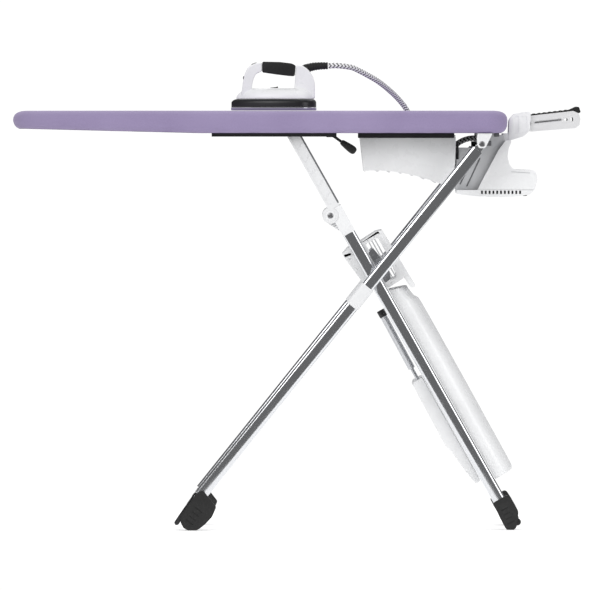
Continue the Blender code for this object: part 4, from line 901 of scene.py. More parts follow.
for name, node, body, slot, finish, sides in (
        ("foot_bar_outer", "foot_bar_a", "outer_legs", "chrome", "chrome_bar", 36),
        ("foot_bar_inner", "foot_bar_b", "inner_legs", "chrome", "chrome_bar", 36),
        ("slider_rod", "slider_shaft", "inner_legs", "steel", "zinc_pin", 24),
        ("knee_pin", "knee_axle", "inner_legs", "steel", "zinc_pin", 24),
        ("crossing_pin", "cross_axle", "inner_legs", "steel", "zinc_pin", 24)):
    low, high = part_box(node)
    centre = ((low.x + high.x) / 2, (low.z + high.z) / 2)
    reach = LEG_A_Y + 0.0087 if node == "cross_axle" else high.y
    bar = along_y(name, centre, (high.x - low.x) / 2, -reach, reach, sides=sides)
    settle(bar, body, slot, finish, node)


def screw_head(name, centre, y, sign, radius, depth, body):
    """A domed cross-head screw that faces outwards along Y."""
    rings = [[(x, y + sign * d, z) for x, z in circle(centre, r, 28)]
             for d, r in ((0.0, radius), (depth * 0.5, radius), (depth * 0.85, radius * 0.86),
                          (depth, radius * 0.6))]
    head = stack(name, rings)
    arm = radius * 0.62
    bit = radius * 0.13
    for a in (math.radians(38), math.radians(128)):
        along = Vector((math.cos(a), math.sin(a)))
        across = Vector((-along.y, along.x))
        corners = [Vector(centre) + along * (arm * i) + across * (bit * j)
                   for i, j in ((-1, -1), (1, -1), (1, 1), (-1, 1))]
        take_away(head, slab("slot", [(c.x, c.y) for c in corners], y + sign * depth * 0.45,
                             y + sign * depth * 2))
    soften(head, radius * 0.03, 1)
    return settle(head, body, "steel", "zinc_pin")


for side, sign in SIDES:
    screw_head("knee_screw_" + side, tuple(KNEE), sign * (LEG_B_Y + 0.0099), sign, 0.0074, 0.0024,
               "inner_legs")

# %% [markdown]
# ## Knee, strut and top sleeve
#
# The inner legs break at a knee when the board is folded flat. The upper half is a moulded strut, round at
# the slider rod, with a recessed flank. Its disc and the sleeve's disc meet face to face on the knee pin.

# %% Mould the struts and sleeves
KNEE_S = -0.1847
STRUT_END = KNEE_S - 0.012
SLEEVE_END = -0.125
SLIDE_S = -(SLIDE - CROSS).length
STRUT_HALF = 0.0155
STRUT_THICK = 0.019
for side, sign in SIDES:
    y = sign * LEG_B_Y
    face = y + sign * STRUT_THICK / 2
    outline = filleted([(*on_b(STRUT_END, -STRUT_HALF), 0.002), (*on_b(STRUT_END, STRUT_HALF), 0.002),
                        (*on_b(SLIDE_S - STRUT_HALF, STRUT_HALF), STRUT_HALF * 0.98),
                        (*on_b(SLIDE_S - STRUT_HALF, -STRUT_HALF), STRUT_HALF * 0.98)], 10)
    strut = slab("knee_strut_" + side, outline, y - STRUT_THICK / 2, y + STRUT_THICK / 2)
    add_on(strut, slab("disc", circle(KNEE, 0.0197, 48), y + sign * 0.0003, face))
    take_away(strut, slab("room", circle(KNEE, 0.0200, 48), y, y - sign * 0.03))
    hollow = filleted([(*on_b(STRUT_END - 0.012, -0.0105), 0.003),
                       (*on_b(STRUT_END - 0.012, 0.0105), 0.003), (*on_b(SLIDE_S + 0.022, 0.0105), 0.008),
                       (*on_b(SLIDE_S + 0.022, -0.0105), 0.008)])
    take_away(strut, slab("recess", hollow, face - sign * 0.0014, face + sign * 0.01))
    for i in range(5):
        s = STRUT_END - 0.030 - 0.034 * i
        rib = [on_b(s, -0.0108), on_b(s + 0.0022, -0.0108), on_b(s + 0.0022 - 0.012, 0.0108),
               on_b(s - 0.012, 0.0108)]
        add_on(strut, slab("rib", rib, face - sign * 0.004, face - sign * 0.0003))
    soften(strut, 0.0011, 2)
    settle(strut, "inner_legs", "white_plastic", "white_satin_moulding", "strut_" + side)
    # Painted shade: a dark grey strip along the tail edge of each strut stands in for the shadowed side of
    # the strut.
    shaded = slab("painted_shade_strut_edge_" + side, filleted([
        (*on_b(STRUT_END - 0.006, STRUT_HALF - 0.0035), 0.001),
        (*on_b(STRUT_END - 0.006, STRUT_HALF + 0.0006), 0.001),
        (*on_b(SLIDE_S + 0.010, STRUT_HALF + 0.0006), 0.001),
        (*on_b(SLIDE_S + 0.010, STRUT_HALF - 0.0035), 0.001)]),
        face - sign * 0.0150, face + sign * 0.0006)
    soften(shaded, 0.0006, 2)
    settle(shaded, "inner_legs", "grey_plastic", "grey_moulding")
    sleeve_outline = filleted([(*on_b(STRUT_END + 0.0006, -STRUT_HALF - 0.0012), 0.002),
                               (*on_b(STRUT_END + 0.0006, STRUT_HALF + 0.0012), 0.002),
                               (*on_b(SLEEVE_END, STRUT_HALF + 0.0012), 0.004),
                               (*on_b(SLEEVE_END, -STRUT_HALF - 0.0012), 0.004)])
    sleeve = slab("knee_sleeve_" + side, sleeve_outline, y - STRUT_THICK / 2 - 0.0012,
                  y + STRUT_THICK / 2 + 0.0012)
    add_on(sleeve, slab("disc", circle(KNEE, 0.0197, 48), y - sign * 0.0003, y - sign * STRUT_THICK / 2))
    take_away(sleeve, slab("room", circle(KNEE, 0.0200, 48), y, y + sign * 0.03))
    web = [on_b(KNEE_S + 0.004, -0.0380), on_b(KNEE_S + 0.044, -0.0168), on_b(KNEE_S + 0.004, -0.0168)]
    add_on(sleeve, slab("web", web, y - sign * 0.0070, y - sign * 0.0012))
    soften(sleeve, 0.0011, 2)
    settle(sleeve, "inner_legs", "white_plastic", "white_gloss_moulding", "top_sleeve_" + side)
    for i in range(6):
        s = KNEE_S + 0.010 + 0.0056 * i
        reach = -0.0375 + 0.0215 * (s - KNEE_S - 0.004) / 0.040
        rib = slab("web_rib_" + side + "_" + str(i), [on_b(s, reach), on_b(s + 0.0016, reach + 0.0008),
                                                       on_b(s + 0.0016, -0.0172), on_b(s, -0.0172)],
                   y - sign * 0.0085, y + sign * 0.0002)
        soften(rib, 0.0004, 1)
        settle(rib, "inner_legs", "white_plastic", "pale_grey_moulding")
    cap = along_y("knee_cap_" + side, tuple(KNEE), 0.0122, face - sign * 0.0004, face + sign * 0.0010,
                  0.0005, 40)
    settle(cap, "inner_legs", "white_plastic", "white_gloss_moulding")

# %% [markdown]
# ## Boots, pedal and rollers
#
# The boots are thick rubber. Each is an outline with generous arcs, pulled out to its width, with soft edges
# and moulded grip ribs on the heel. The pedal swings on the foot bar.

# %% Cast the boots
BOOT_HALF = 0.0185


def boot(name, corners, y, ribs, body, *nodes):
    """A rubber boot with raised ribs on its flank."""
    piece = slab(name, filleted(corners), y - BOOT_HALF, y + BOOT_HALF)
    for outline in ribs:
        for face in (-BOOT_HALF, BOOT_HALF):
            take_away(piece, slab("groove", outline, y + face - 0.0012, y + face + 0.0012))
    soften(piece, 0.0026, 3, 50.0)
    return settle(piece, body, "rubber", "black_rubber", *nodes)


ground_a = FOOT_A.x - 0.0137
boot_a = [(0.0590, 0.0560, 0.006), (0.049, 0.0331, 0.02), (0.0319, 0.0147, 0.02), (0.0190, 0.0045, 0.01),
          (0.0110, 0.0, 0.006), (-0.0098, 0.0, 0.006), (-0.0208, 0.0061, 0.008), (-0.0279, 0.0196, 0.012),
          (-0.0257, 0.0343, 0.02), (-0.0147, 0.0527, 0.02), (0.000, 0.0735, 0.02), (0.0098, 0.0882, 0.012),
          (0.0260, 0.0985, 0.008)]
ground_b = FOOT_B.x + 0.0170
boot_b = [(-0.0430, 0.0640, 0.006), (-0.0287, 0.0392, 0.02), (-0.0176, 0.0157, 0.02),
          (-0.0115, 0.0049, 0.008), (-0.0078, 0.0, 0.004), (0.0093, 0.0, 0.004), (0.0154, 0.0054, 0.008),
          (0.0191, 0.027, 0.02), (0.0203, 0.0453, 0.012), (0.0093, 0.0662, 0.02), (-0.0040, 0.0860, 0.008)]


def slanted_bar(x, z, long, wide, slope):
    along = Vector((math.cos(slope), math.sin(slope)))
    across = Vector((-along.y, along.x))
    middle_point = Vector((x, z))
    return [tuple(middle_point + along * (long / 2 * i) + across * (wide / 2 * j))
            for i, j in ((-1, -1), (1, -1), (1, 1), (-1, 1))]


for side, sign in SIDES:
    y = sign * LEG_A_Y
    ribs = [slanted_bar(ground_a - 0.006 + 0.0075 * i, 0.020 + 0.0100 * i, 0.020, 0.0022, math.radians(-38))
            for i in range(4)]
    piece = boot("outer_boot_" + side, [(ground_a + x, z, r) for x, z, r in boot_a], y, ribs, "outer_legs",
                 "boot_a_" + side)
    y = sign * LEG_B_Y
    ribs = [slanted_bar(ground_b + 0.002 - 0.005 * i, 0.018 + 0.0110 * i, 0.018, 0.0022, math.radians(28))
            for i in range(4)]
    piece = boot("inner_boot_" + side, [(ground_b + x, z, r) for x, z, r in boot_b], y, ribs, "inner_legs",
                 "boot_b_" + side)
    low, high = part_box("roller_" + side)
    centre = ((low.x + high.x) / 2, (low.z + high.z) / 2)
    cheek = slab("roller_cheek_" + side, filleted([
        (ground_b, 0.008, 0), (centre[0], 0.0102, 0.004), (centre[0] + 0.0068, 0.0175, 0.006),
        (centre[0], 0.0248, 0.004), (ground_b, 0.034, 0)]), y - sign * (BOOT_HALF - 0.006),
        y - sign * (BOOT_HALF + 0.003))
    soften(cheek, 0.0008, 2)
    settle(cheek, "inner_legs", "rubber", "black_rubber")
    wheel_rings = []
    radius = (high.x - low.x) / 2
    for share, size in ((0.0, 0.82), (0.12, 0.95), (0.3, 1.0), (0.42, 1.0), (0.5, 0.93), (0.58, 1.0),
                        (0.7, 1.0), (0.88, 0.95), (1.0, 0.82)):
        at = low.y + (high.y - low.y) * share
        wheel_rings.append([(x, at, z) for x, z in circle(centre, radius * size, 36)])
    wheel = stack("transport_roller_" + side, wheel_rings)
    take_away(wheel, slab("bore", circle(centre, 0.0034, 20), low.y - 0.01, high.y + 0.01))
    soften(wheel, 0.0004, 1)
    settle(wheel, "roller_" + side, "rubber", "black_rubber", "roller_" + side)
    pin_end = y - sign * (BOOT_HALF + 0.0175)
    pin = along_y("roller_pin_" + side, centre, 0.0029, y - sign * 0.014, pin_end, 0.0004, 20)
    settle(pin, "inner_legs", "steel", "zinc_pin")

# %% Fit the pedal
low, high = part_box("foot_pedal")
hub = 0.0155
pedal_corners = [(FOOT_A.x + hub * math.cos(math.radians(-60 + 24 * i)),
                  FOOT_A.y + hub * math.sin(math.radians(-60 + 24 * i)), 0) for i in range(11)]
pedal_corners += [(ground_a - 0.0196, 0.0535, 0.02), (ground_a - 0.0441, 0.0172, 0.004),
                  (ground_a - 0.0400, 0.0110, 0.003), (ground_a - 0.0340, 0.0120, 0.004),
                  (ground_a - 0.0120, 0.0420, 0.02)]
pedal = slab("release_pedal", filleted(pedal_corners), low.y, high.y)
take_away(pedal, slab("bore", circle(FOOT_A, 0.0114, 40), low.y - 0.01, high.y + 0.01))
for i in range(3):
    groove = slanted_bar(ground_a - 0.0405 + 0.0048 * i, 0.0225 + 0.0075 * i, 0.0030, 0.0016,
                         math.radians(-33))
    take_away(pedal, slab("groove", groove, low.y + 0.004, high.y - 0.004))
soften(pedal, 0.0014, 3)
settle(pedal, "pedal", "black_plastic", "black_moulding", "foot_pedal")

# %% [markdown]
# ## Crossing bracket
#
# Round the crossing sits a bracket with two side plates, a long window and a rim. Slats run along the window,
# and a bright sheet-metal plate with small holes is riveted on the tail side.

# %% Mould the bracket
TUBE_IN = LEG_B_Y - TUBE_THICK / 2 - 0.0003
PLATE = 0.004


def leg_b_corners(rows):
    return [(*on_b(s, n), r) for s, n, r in rows]


plate_outline = filleted(leg_b_corners((
    (-0.095, -0.0200, 0.010), (-0.088, -0.0400, 0.006), (-0.076, -0.0390, 0.008), (-0.006, -0.0300, 0.004),
    (-0.004, -0.0180, 0.006), (0.038, 0.0180, 0.006), (0.036, 0.0560, 0.010), (0.034, 0.0650, 0.004),
    (-0.097, 0.0650, 0.006), (-0.094, 0.0200, 0.010))))
window_outline = filleted(leg_b_corners((
    (-0.082, 0.0225, 0.004), (-0.082, 0.0560, 0.006), (-0.020, 0.0560, 0.010), (0.026, 0.0500, 0.008),
    (0.022, 0.0225, 0.006))))
strip_outline = filleted(leg_b_corners((
    (-0.0960, 0.0600, 0.002), (-0.0930, 0.0745, 0.006), (0.064, 0.0790, 0.004), (0.067, 0.0760, 0.001),
    (0.064, 0.0660, 0.002), (0.034, 0.0640, 0.006), (-0.0890, 0.0640, 0.004), (-0.0890, 0.0175, 0.001),
    (-0.0920, 0.0175, 0.001))))
bracket = slab("crossing_bracket_rim", strip_outline, -TUBE_IN, TUBE_IN)
soften(bracket, 0.0010, 2)
settle(bracket, "inner_legs", "white_plastic", "white_gloss_moulding", "crossing_bracket")
tie = slab("crossing_bracket_tie", filleted(leg_b_corners((
    (-0.086, -0.0375, 0.001), (-0.082, -0.0200, 0.001), (-0.076, -0.0200, 0.001),
    (-0.078, -0.0375, 0.001)))),
    -TUBE_IN, TUBE_IN)
soften(tie, 0.0005, 2)
settle(tie, "inner_legs", "white_plastic", "white_satin_moulding")
for side, sign in SIDES:
    outer = sign * TUBE_IN
    inner = sign * (TUBE_IN - PLATE)
    plate = slab("crossing_plate_" + side, plate_outline, inner, outer)
    take_away(plate, slab("window", window_outline, inner - sign * 0.01, outer + sign * 0.01))
    for s, n, r in ((-0.0865, 0.030, 0.0018), (-0.0865, 0.050, 0.0018), (0.030, 0.030, 0.0024),
                    (-0.070, -0.028, 0.003), (-0.040, -0.024, 0.003), (-0.060, 0.0605, 0.0016),
                    (-0.030, 0.0605, 0.0016), (0.0, 0.0605, 0.0016)):
        take_away(plate, slab("hole", circle(on_b(s, n), r, 16), inner - sign * 0.01, outer + sign * 0.01))
    soften(plate, 0.0009, 2)
    settle(plate, "inner_legs", "white_plastic", "white_satin_moulding")
    for i in range(3):
        n = 0.0300 + 0.0080 * i
        slat = slab("bracket_slat_" + side + "_" + str(i), filleted(leg_b_corners((
            (-0.0835, n, 0.0008), (-0.0835, n + 0.0030, 0.0008), (0.0225, n + 0.0030, 0.0008),
            (0.0225, n, 0.0008)))),
            inner + sign * 0.0004, outer - sign * 0.0006)
        soften(slat, 0.0005, 1)
        settle(slat, "inner_legs", "white_plastic", "pale_grey_moulding")
    metal_plate = slab("latch_plate_" + side, filleted(leg_b_corners((
        (-0.060, 0.0180, 0.004), (-0.066, 0.0330, 0.004), (-0.010, 0.0420, 0.006), (0.020, 0.0360, 0.004),
        (0.024, 0.0180, 0.003)))), outer - sign * 0.0006, outer + sign * 0.0008)
    for s, n in ((-0.050, 0.0250), (-0.036, 0.0290), (0.010, 0.0270), (-0.015, 0.0300)):
        take_away(metal_plate, slab("hole", circle(on_b(s, n), 0.0018, 14), outer - sign * 0.01,
                                    outer + sign * 0.01))
    soften(metal_plate, 0.0003, 1)
    settle(metal_plate, "inner_legs", "steel", "brushed_steel")

# %% [markdown]
# ## Iron pocket, gas spring and lower cover
#
# The pocket is a deep white trough between the inner legs. Its section is an arch, so it is lofted from
# arches set down the leg; the arch bulges towards the tail. The spring is turned in steps, its rod thinner
# than its cylinder.

# %% Loft the pocket
POCKET_END = 0.572


def arch(s_low, s_high, n_low, n_high, half, sides=33):
    """A closed arch from leg to leg that bulges to the tail side."""
    ring = []
    for i in range(sides):
        a = math.pi * i / (sides - 1)
        rise = math.sin(a) ** 0.5 if 0 < i < sides - 1 else 0.0
        x, z = on_b(s_low + (s_high - s_low) * rise, n_low + (n_high - n_low) * rise)
        ring.append((x, -half * math.copysign(abs(math.cos(a)) ** 0.8, math.cos(a)), z))
    return ring


POCKET_HALF = TUBE_IN - 0.0050
POCKET_ROWS = ((0.0440, 0.0560, 0.0165, 0.0600), (0.0460, 0.0640, 0.0165, 0.0606),
               (0.0510, 0.0740, 0.0165, 0.0618), (0.060, 0.0860, 0.0165, 0.0640),
               (0.070, 0.0920, 0.0165, 0.0682), (0.080, 0.0970, 0.0165, 0.0710),
               (0.110, 0.1150, 0.0165, 0.0720), (0.180, 0.180, 0.0165, 0.0722),
               (0.250, 0.250, 0.0165, 0.0720), (0.340, 0.340, 0.0165, 0.0714),
               (0.420, 0.420, 0.0165, 0.0705), (0.500, 0.500, 0.0165, 0.0698),
               (POCKET_END - 0.012, POCKET_END - 0.012, 0.0165, 0.0690))
pocket_rings = [arch(*row, POCKET_HALF) for row in POCKET_ROWS]
pocket_rings.append(arch(POCKET_END - 0.004, POCKET_END - 0.004, 0.0165, 0.0680, POCKET_HALF - 0.0008))
pocket_rings.append(arch(POCKET_END, POCKET_END, 0.0172, 0.0650, POCKET_HALF - 0.004))
pocket = stack("iron_pocket_shell", pocket_rings)
shape = bmesh.new()
shape.from_mesh(pocket.data)
mouth = max((f for f in shape.faces if len(f.verts) > 4), key=lambda f: f.calc_center_median().z)
bmesh.ops.delete(shape, geom=[mouth], context="FACES_ONLY")
shape.to_mesh(pocket.data)
shape.free()
apply_modifier(pocket, "SOLIDIFY", thickness=0.0028, offset=-1.0)
soften(pocket, 0.0008, 2, 55.0)
settle(pocket, "inner_legs", "white_plastic", "white_gloss_moulding", "iron_pocket")

# %% Turn the gas spring and fold the lower cover
spring_y = middle("gas_spring").y
steps = ((0.078, 0.0080), (0.0792, 0.0092), (0.0850, 0.0092), (0.0862, 0.0086), (0.2350, 0.0086),
         (0.2376, 0.0076), (0.2380, 0.0044), (0.2660, 0.0044), (0.2680, 0.0040))
spring_rings = []
for s, size in steps:
    centre = Vector(on_b(s, -0.0258 - 0.003 * (s - 0.078) / 0.19))
    spring_rings.append([(centre.x + ACROSS_B.x * size * math.cos(math.tau * i / 32),
                          spring_y + size * math.sin(math.tau * i / 32),
                          centre.y + ACROSS_B.y * size * math.cos(math.tau * i / 32)) for i in range(32)])
spring = stack("gas_spring_body", spring_rings)
soften(spring, 0.0003, 1)
settle(spring, "inner_legs", "steel", "brushed_steel", "gas_spring")
cap_rings = []
for s, size in ((0.0760, 0.0088), (0.0768, 0.0097), (0.0930, 0.0097), (0.0940, 0.0088)):
    centre = Vector(on_b(s, -0.0258))
    cap_rings.append([(centre.x + ACROSS_B.x * size * math.cos(math.tau * i / 32),
                       spring_y + size * math.sin(math.tau * i / 32),
                       centre.y + ACROSS_B.y * size * math.cos(math.tau * i / 32)) for i in range(32)])
spring_cap = stack("gas_spring_cap", cap_rings)
soften(spring_cap, 0.0003, 1)
settle(spring_cap, "inner_legs", "black_plastic", "black_moulding")
low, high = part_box("lower_cover")
cover_outline = filleted(leg_b_corners((
    (0.274, -0.0465, 0.004), (0.2688, -0.0400, 0.003), (0.2688, -0.0165, 0.003), (0.556, -0.0165, 0.004),
    (0.560, -0.0300, 0.006), (0.523, -0.0375, 0.03), (0.462, -0.0440, 0.02), (0.440, -0.0500, 0.008))))
lower = slab("lower_cover_shell", cover_outline, low.y, high.y)
inside = filleted(leg_b_corners((
    (0.278, -0.0435, 0.003), (0.278, -0.0050, 0), (0.550, -0.0050, 0), (0.550, -0.0285, 0.004),
    (0.520, -0.0345, 0.02), (0.460, -0.0410, 0.02), (0.438, -0.0470, 0.006))))
take_away(lower, slab("inside", inside, low.y + 0.003, high.y - 0.003))
soften(lower, 0.0016, 3)
settle(lower, "inner_legs", "white_plastic", "white_satin_moulding", "lower_cover")

# %% [markdown]
# ## Under the board: rails, cradle, brackets, lever
#
# These are pressed and moulded parts whose plain solids already have the right outline. A working copy is
# merged and its edges are rounded, which is what makes a part look pressed and not cut out of a block.

# %% Round the edges of the mechanical parts
for node, body, slot, finish, width in (
        ("slide_track", "board", "black_plastic", "black_moulding", 0.0005),
        ("tank_cradle", "board", "black_plastic", "black_moulding", 0.0007),
        ("slide_carriage", "carriage", "black_plastic", "black_moulding", 0.0006),
        ("hose_gland", "board", "black_plastic", "black_moulding", 0.0010),
        ("hose_hook", "board", "black_plastic", "black_moulding", 0.0008),
        ("board_deck", "board", "steel", "brushed_steel", 0.0003),
        ("blower_wheel", "blower", "black_plastic", "black_moulding", 0.0006),
        ("water_pump", "board", "brass", "pump_brass", 0.0015),
        ("boiler", "board", "steel", "brushed_steel", 0.0020),
        ("blower_motor", "board", "steel", "zinc_pin", 0.0012)):
    piece = softened_copy(node, node + "_part", width)
    settle(piece, body, slot, finish, node)

# %% Mould the pivot brackets
for side, sign in SIDES:
    low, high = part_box("pivot_bracket_" + side)
    outline = filleted([
        (PIVOT.x - 0.0100, high.z, 0), (PIVOT.x - 0.0125, PIVOT.y + 0.014, 0.02),
        (PIVOT.x - 0.0104, PIVOT.y - 0.0100, 0.009), (PIVOT.x + 0.0080, PIVOT.y - 0.0100, 0.008),
        (PIVOT.x + 0.0240, PIVOT.y + 0.0230, 0.008), (PIVOT.x + 0.0240, high.z, 0)])
    below = TOP - BOARD_DEPTH - 0.0008
    outer = sign * 0.200
    bracket = slab("leg_bracket_" + side, outline, sign * 0.170, sign * (BOARD_HALF - 0.022 - 0.0076))
    add_on(bracket, slab("cheeks", [(x, min(z, below)) for x, z in outline], sign * 0.1702, outer))
    take_away(bracket, slab("fork", [(PIVOT.x - 0.05, PIVOT.y - 0.05), (PIVOT.x + 0.05, PIVOT.y - 0.05),
                                     (PIVOT.x + 0.05, PIVOT.y + 0.019), (PIVOT.x - 0.05, PIVOT.y + 0.019)],
                            sign * (LEG_A_Y - 0.0098), sign * (LEG_A_Y + 0.0098)))
    add_on(bracket, slab("pin", circle(PIVOT, 0.0050, 28), sign * 0.172, sign * 0.198))
    web = filleted([(PIVOT.x - 0.0060, PIVOT.y + 0.0130, 0.001),
                    (PIVOT.x + 0.0120, PIVOT.y + 0.0120, 0.001),
                    (PIVOT.x + 0.0190, PIVOT.y + 0.0240, 0.001),
                    (PIVOT.x - 0.0070, PIVOT.y + 0.0240, 0.001)])
    take_away(bracket, slab("relief", web, outer - sign * 0.0012, outer + sign * 0.01))
    soften(bracket, 0.0010, 2)
    settle(bracket, "board", "white_plastic", "white_gloss_moulding", "pivot_bracket_" + side)
    screw_head("bracket_screw_" + side, (PIVOT.x, PIVOT.y), outer - sign * 0.0003, sign, 0.0072, 0.0022,
               "board")

# %% Forge the lever and mould its grip
low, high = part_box("lever_arm")
LEVER_ROOT = Vector((TAIL - 0.4345, TOP - 0.0540))
LEVER_Y = (low.y + high.y) / 2
LEVER_SLOPE = math.atan2(-0.0470, 0.0647)
LEVER_ALONG = Vector((math.cos(LEVER_SLOPE), math.sin(LEVER_SLOPE)))
LEVER_ACROSS = Vector((-LEVER_ALONG.y, LEVER_ALONG.x))


def on_lever(s, n=0.0):
    point = LEVER_ROOT + LEVER_ALONG * s + LEVER_ACROSS * n
    return point.x, point.y


arm = slab("lever_blade", filleted([(*on_lever(-0.0084, 0.0084), 0.0080),
                                    (*on_lever(-0.0084, -0.0084), 0.0080),
                                    (*on_lever(0.0075, -0.0080), 0.006),
                                    (*on_lever(0.0135, -0.0034), 0.008), (*on_lever(0.0500, -0.0034), 0),
                                    (*on_lever(0.0500, 0.0034), 0), (*on_lever(0.0135, 0.0034), 0.008),
                                    (*on_lever(0.0075, 0.0080), 0.006)]),
           low.y, high.y)
take_away(arm, slab("bore", circle(LEVER_ROOT, 0.0029, 20), low.y - 0.01, high.y + 0.01))
soften(arm, 0.0007, 2)
settle(arm, "height_lever", "steel", "black_moulding", "lever_arm")
grip_rings = []
for s, size in ((0.0370, 0.0036), (0.0372, 0.0050), (0.0380, 0.0058), (0.0415, 0.0070), (0.0475, 0.0078),
                (0.0530, 0.0086), (0.0600, 0.0094), (0.0670, 0.0099), (0.0720, 0.0098), (0.0755, 0.0090),
                (0.0778, 0.0076), (0.0796, 0.0052), (0.0800, 0.0024)):
    centre = Vector(on_lever(s))
    grip_rings.append([(centre.x + LEVER_ACROSS.x * size * math.cos(math.tau * i / 28),
                        LEVER_Y + size * 0.92 * math.sin(math.tau * i / 28),
                        centre.y + LEVER_ACROSS.y * size * math.cos(math.tau * i / 28)) for i in range(28)])
grip = stack("lever_handle", grip_rings)
only(grip)
bpy.ops.object.shade_smooth_by_angle(angle=math.radians(50.0))
settle(grip, "height_lever", "black_plastic", "black_rubber", "lever_grip")

# %% [markdown]
# ## Water tank
#
# The tank hangs in its cradle by its lid. Its flank is one outline with a long arched lower edge. Small
# triangular feet under the arch keep the full tank from rocking on a table.

# %% Mould the tank
TANK_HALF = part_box("water_tank")[1].y
TANK_DROP = 0.0640
TANK_LEFT = -0.3596
ARCH = ((-0.3386, -0.1458), (-0.3136, -0.1463), (-0.2964, -0.1472), (-0.2621, -0.1510), (-0.2345, -0.1561),
        (-0.2019, -0.1655), (-0.1624, -0.1784))
tank_outline = filleted([(TAIL + x, TOP + z, r) for x, z, r in (
    (TANK_LEFT, -TANK_DROP, 0.002), (-0.3495, -0.1500, 0.003), *((x, z, 0.03) for x, z in ARCH),
    (-0.1500, -0.1815, 0.006), (-0.1400, -0.1780, 0.008), (-0.1290, -0.1450, 0.05), (-0.1262, -0.1176, 0.05),
    (-0.1250, -TANK_DROP, 0.002))], 8)
tank = slab("tank_body", tank_outline, -TANK_HALF, TANK_HALF)
inner_outline = [(TAIL + TANK_LEFT + 0.010, TOP - TANK_DROP + 0.02), (TAIL - 0.3450, TOP - 0.1420),
                 (TAIL - 0.3136, TOP - 0.1425), (TAIL - 0.2345, TOP - 0.1520),
                 (TAIL - 0.1624, TOP - 0.1735), (TAIL - 0.1500, TOP - 0.1760),
                 (TAIL - 0.1310, TOP - 0.1300), (TAIL - 0.1290, TOP - TANK_DROP + 0.02)]
take_away(tank, slab("inside", inner_outline, -TANK_HALF + 0.003, TANK_HALF - 0.003))
soften(tank, 0.0045, 4)
settle(tank, "tank", "white_plastic", "white_gloss_moulding", "water_tank")


def arch_height(x):
    """Height of the tank's lower edge at x, both from the tail and the top."""
    for (x0, z0), (x1, z1) in zip(ARCH, ARCH[1:]):
        if x <= x1:
            return z0 + (z1 - z0) * (x - x0) / (x1 - x0)
    return ARCH[-1][1]


TANK_FEET = 6
for side, sign in SIDES:
    for i in range(TANK_FEET):
        x = -0.3180 + 0.0280 * i
        z = arch_height(x)
        foot = slab("tank_foot_" + side + "_" + str(i), filleted([
            (TAIL + x - 0.0080, TOP + z + 0.0030, 0), (TAIL + x + 0.0016, TOP + z - 0.0040, 0.001),
            (TAIL + x + 0.0030, TOP + z - 0.0040, 0.001), (TAIL + x + 0.0070, TOP + z + 0.0020, 0)], 3),
            sign * (TANK_HALF - 0.0100), sign * (TANK_HALF - 0.0055))
        soften(foot, 0.0005, 1)
        settle(foot, "tank", "white_plastic", "white_gloss_moulding")
lid_low, lid_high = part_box("tank_lid")
lid = slab("tank_cover", [(lid_low.x, lid_low.z), (lid_high.x, lid_low.z), (lid_high.x, lid_high.z),
                          (lid_low.x, lid_high.z)], lid_low.y, lid_high.y)
filler_x = TAIL - 0.318
hole = stack("hole",
             [[(filler_x + 0.014 * math.cos(math.tau * i / 32), 0.014 * math.sin(math.tau * i / 32), z)
                       for i in range(32)] for z in (lid_low.z - 0.01, lid_high.z + 0.01)])
take_away(lid, hole)
soften(lid, 0.0011, 3)
settle(lid, "tank", "white_plastic", "white_satin_moulding", "tank_lid")

# %% [markdown]
# ## Steam generator
#
# An inner housing with ribs shows between the board and a white cowl; its pale grey is painted shade for
# the shadow on this recessed wall under the board. The cowl has a slanted front edge and a concave neck that
# carries the iron rest; its base is a shallow tray with a row of narrow vents.

# %% Mould the housing
BODY_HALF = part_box("generator_body")[1].y
COWL_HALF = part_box("generator_cowl")[1].y
CHEEK_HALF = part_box("rest_bracket")[1].y


def tail_corners(rows):
    return [(TAIL + x, TOP + z, r) for x, z, r in rows]


neck_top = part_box("generator_body")[1].z - TOP
housing = slab("steam_housing", filleted(tail_corners((
    (-0.1237, -0.0907, 0.004), (-0.0780, -0.0907, 0.006), (-0.0600, -0.0600, 0.006), (-0.0600, neck_top, 0),
    (-0.0260, neck_top, 0), (-0.0260, -0.0585, 0.004), (-0.0074, -0.0600, 0.004), (-0.0074, -0.1932, 0),
    (-0.1237, -0.1932, 0)))), -BODY_HALF, BODY_HALF)
take_away(housing, slab("inside", off_tail([(-0.1207, -0.0937), (-0.0762, -0.0937), (-0.0582, -0.0630),
                                            (-0.0104, -0.0630), (-0.0104, -0.2200), (-0.1207, -0.2200)]),
                        -BODY_HALF + 0.003, BODY_HALF - 0.003))
for i in range(4):
    low_z = -0.112 - 0.016 * i
    take_away(housing, slab("vent", off_tail([(-0.112, low_z), (-0.082, low_z), (-0.082, low_z + 0.006),
                                              (-0.112, low_z + 0.006)]), BODY_HALF - 0.01, BODY_HALF + 0.01))
soften(housing, 0.0012, 2)
# Painted shade: the housing's pale grey, darker than the white cowl, stands in for the shadow on this
# recessed wall under the board.
settle(housing, "board", "grey_plastic", "pale_grey_moulding", "generator_body")
for i, (x0, z0, x1, z1) in enumerate(((-0.1150, -0.1800, -0.0860, -0.1230),
                                      (-0.0985, -0.1850, -0.0660, -0.1160),
                                      (-0.0780, -0.0980, -0.0420, -0.0670))):
    along = (Vector((x1, z1)) - Vector((x0, z0))).normalized() * 0.0016
    rib = slab("housing_rib_" + str(i), off_tail([(x0 + along.y, z0 - along.x),
                                                  (x1 + along.y, z1 - along.x),
                                                  (x1 - along.y, z1 + along.x),
                                                  (x0 - along.y, z0 + along.x)]),
               -BODY_HALF - 0.0012, -BODY_HALF + 0.001)
    soften(rib, 0.0004, 1)
    settle(rib, "board", "grey_plastic", "grey_moulding")

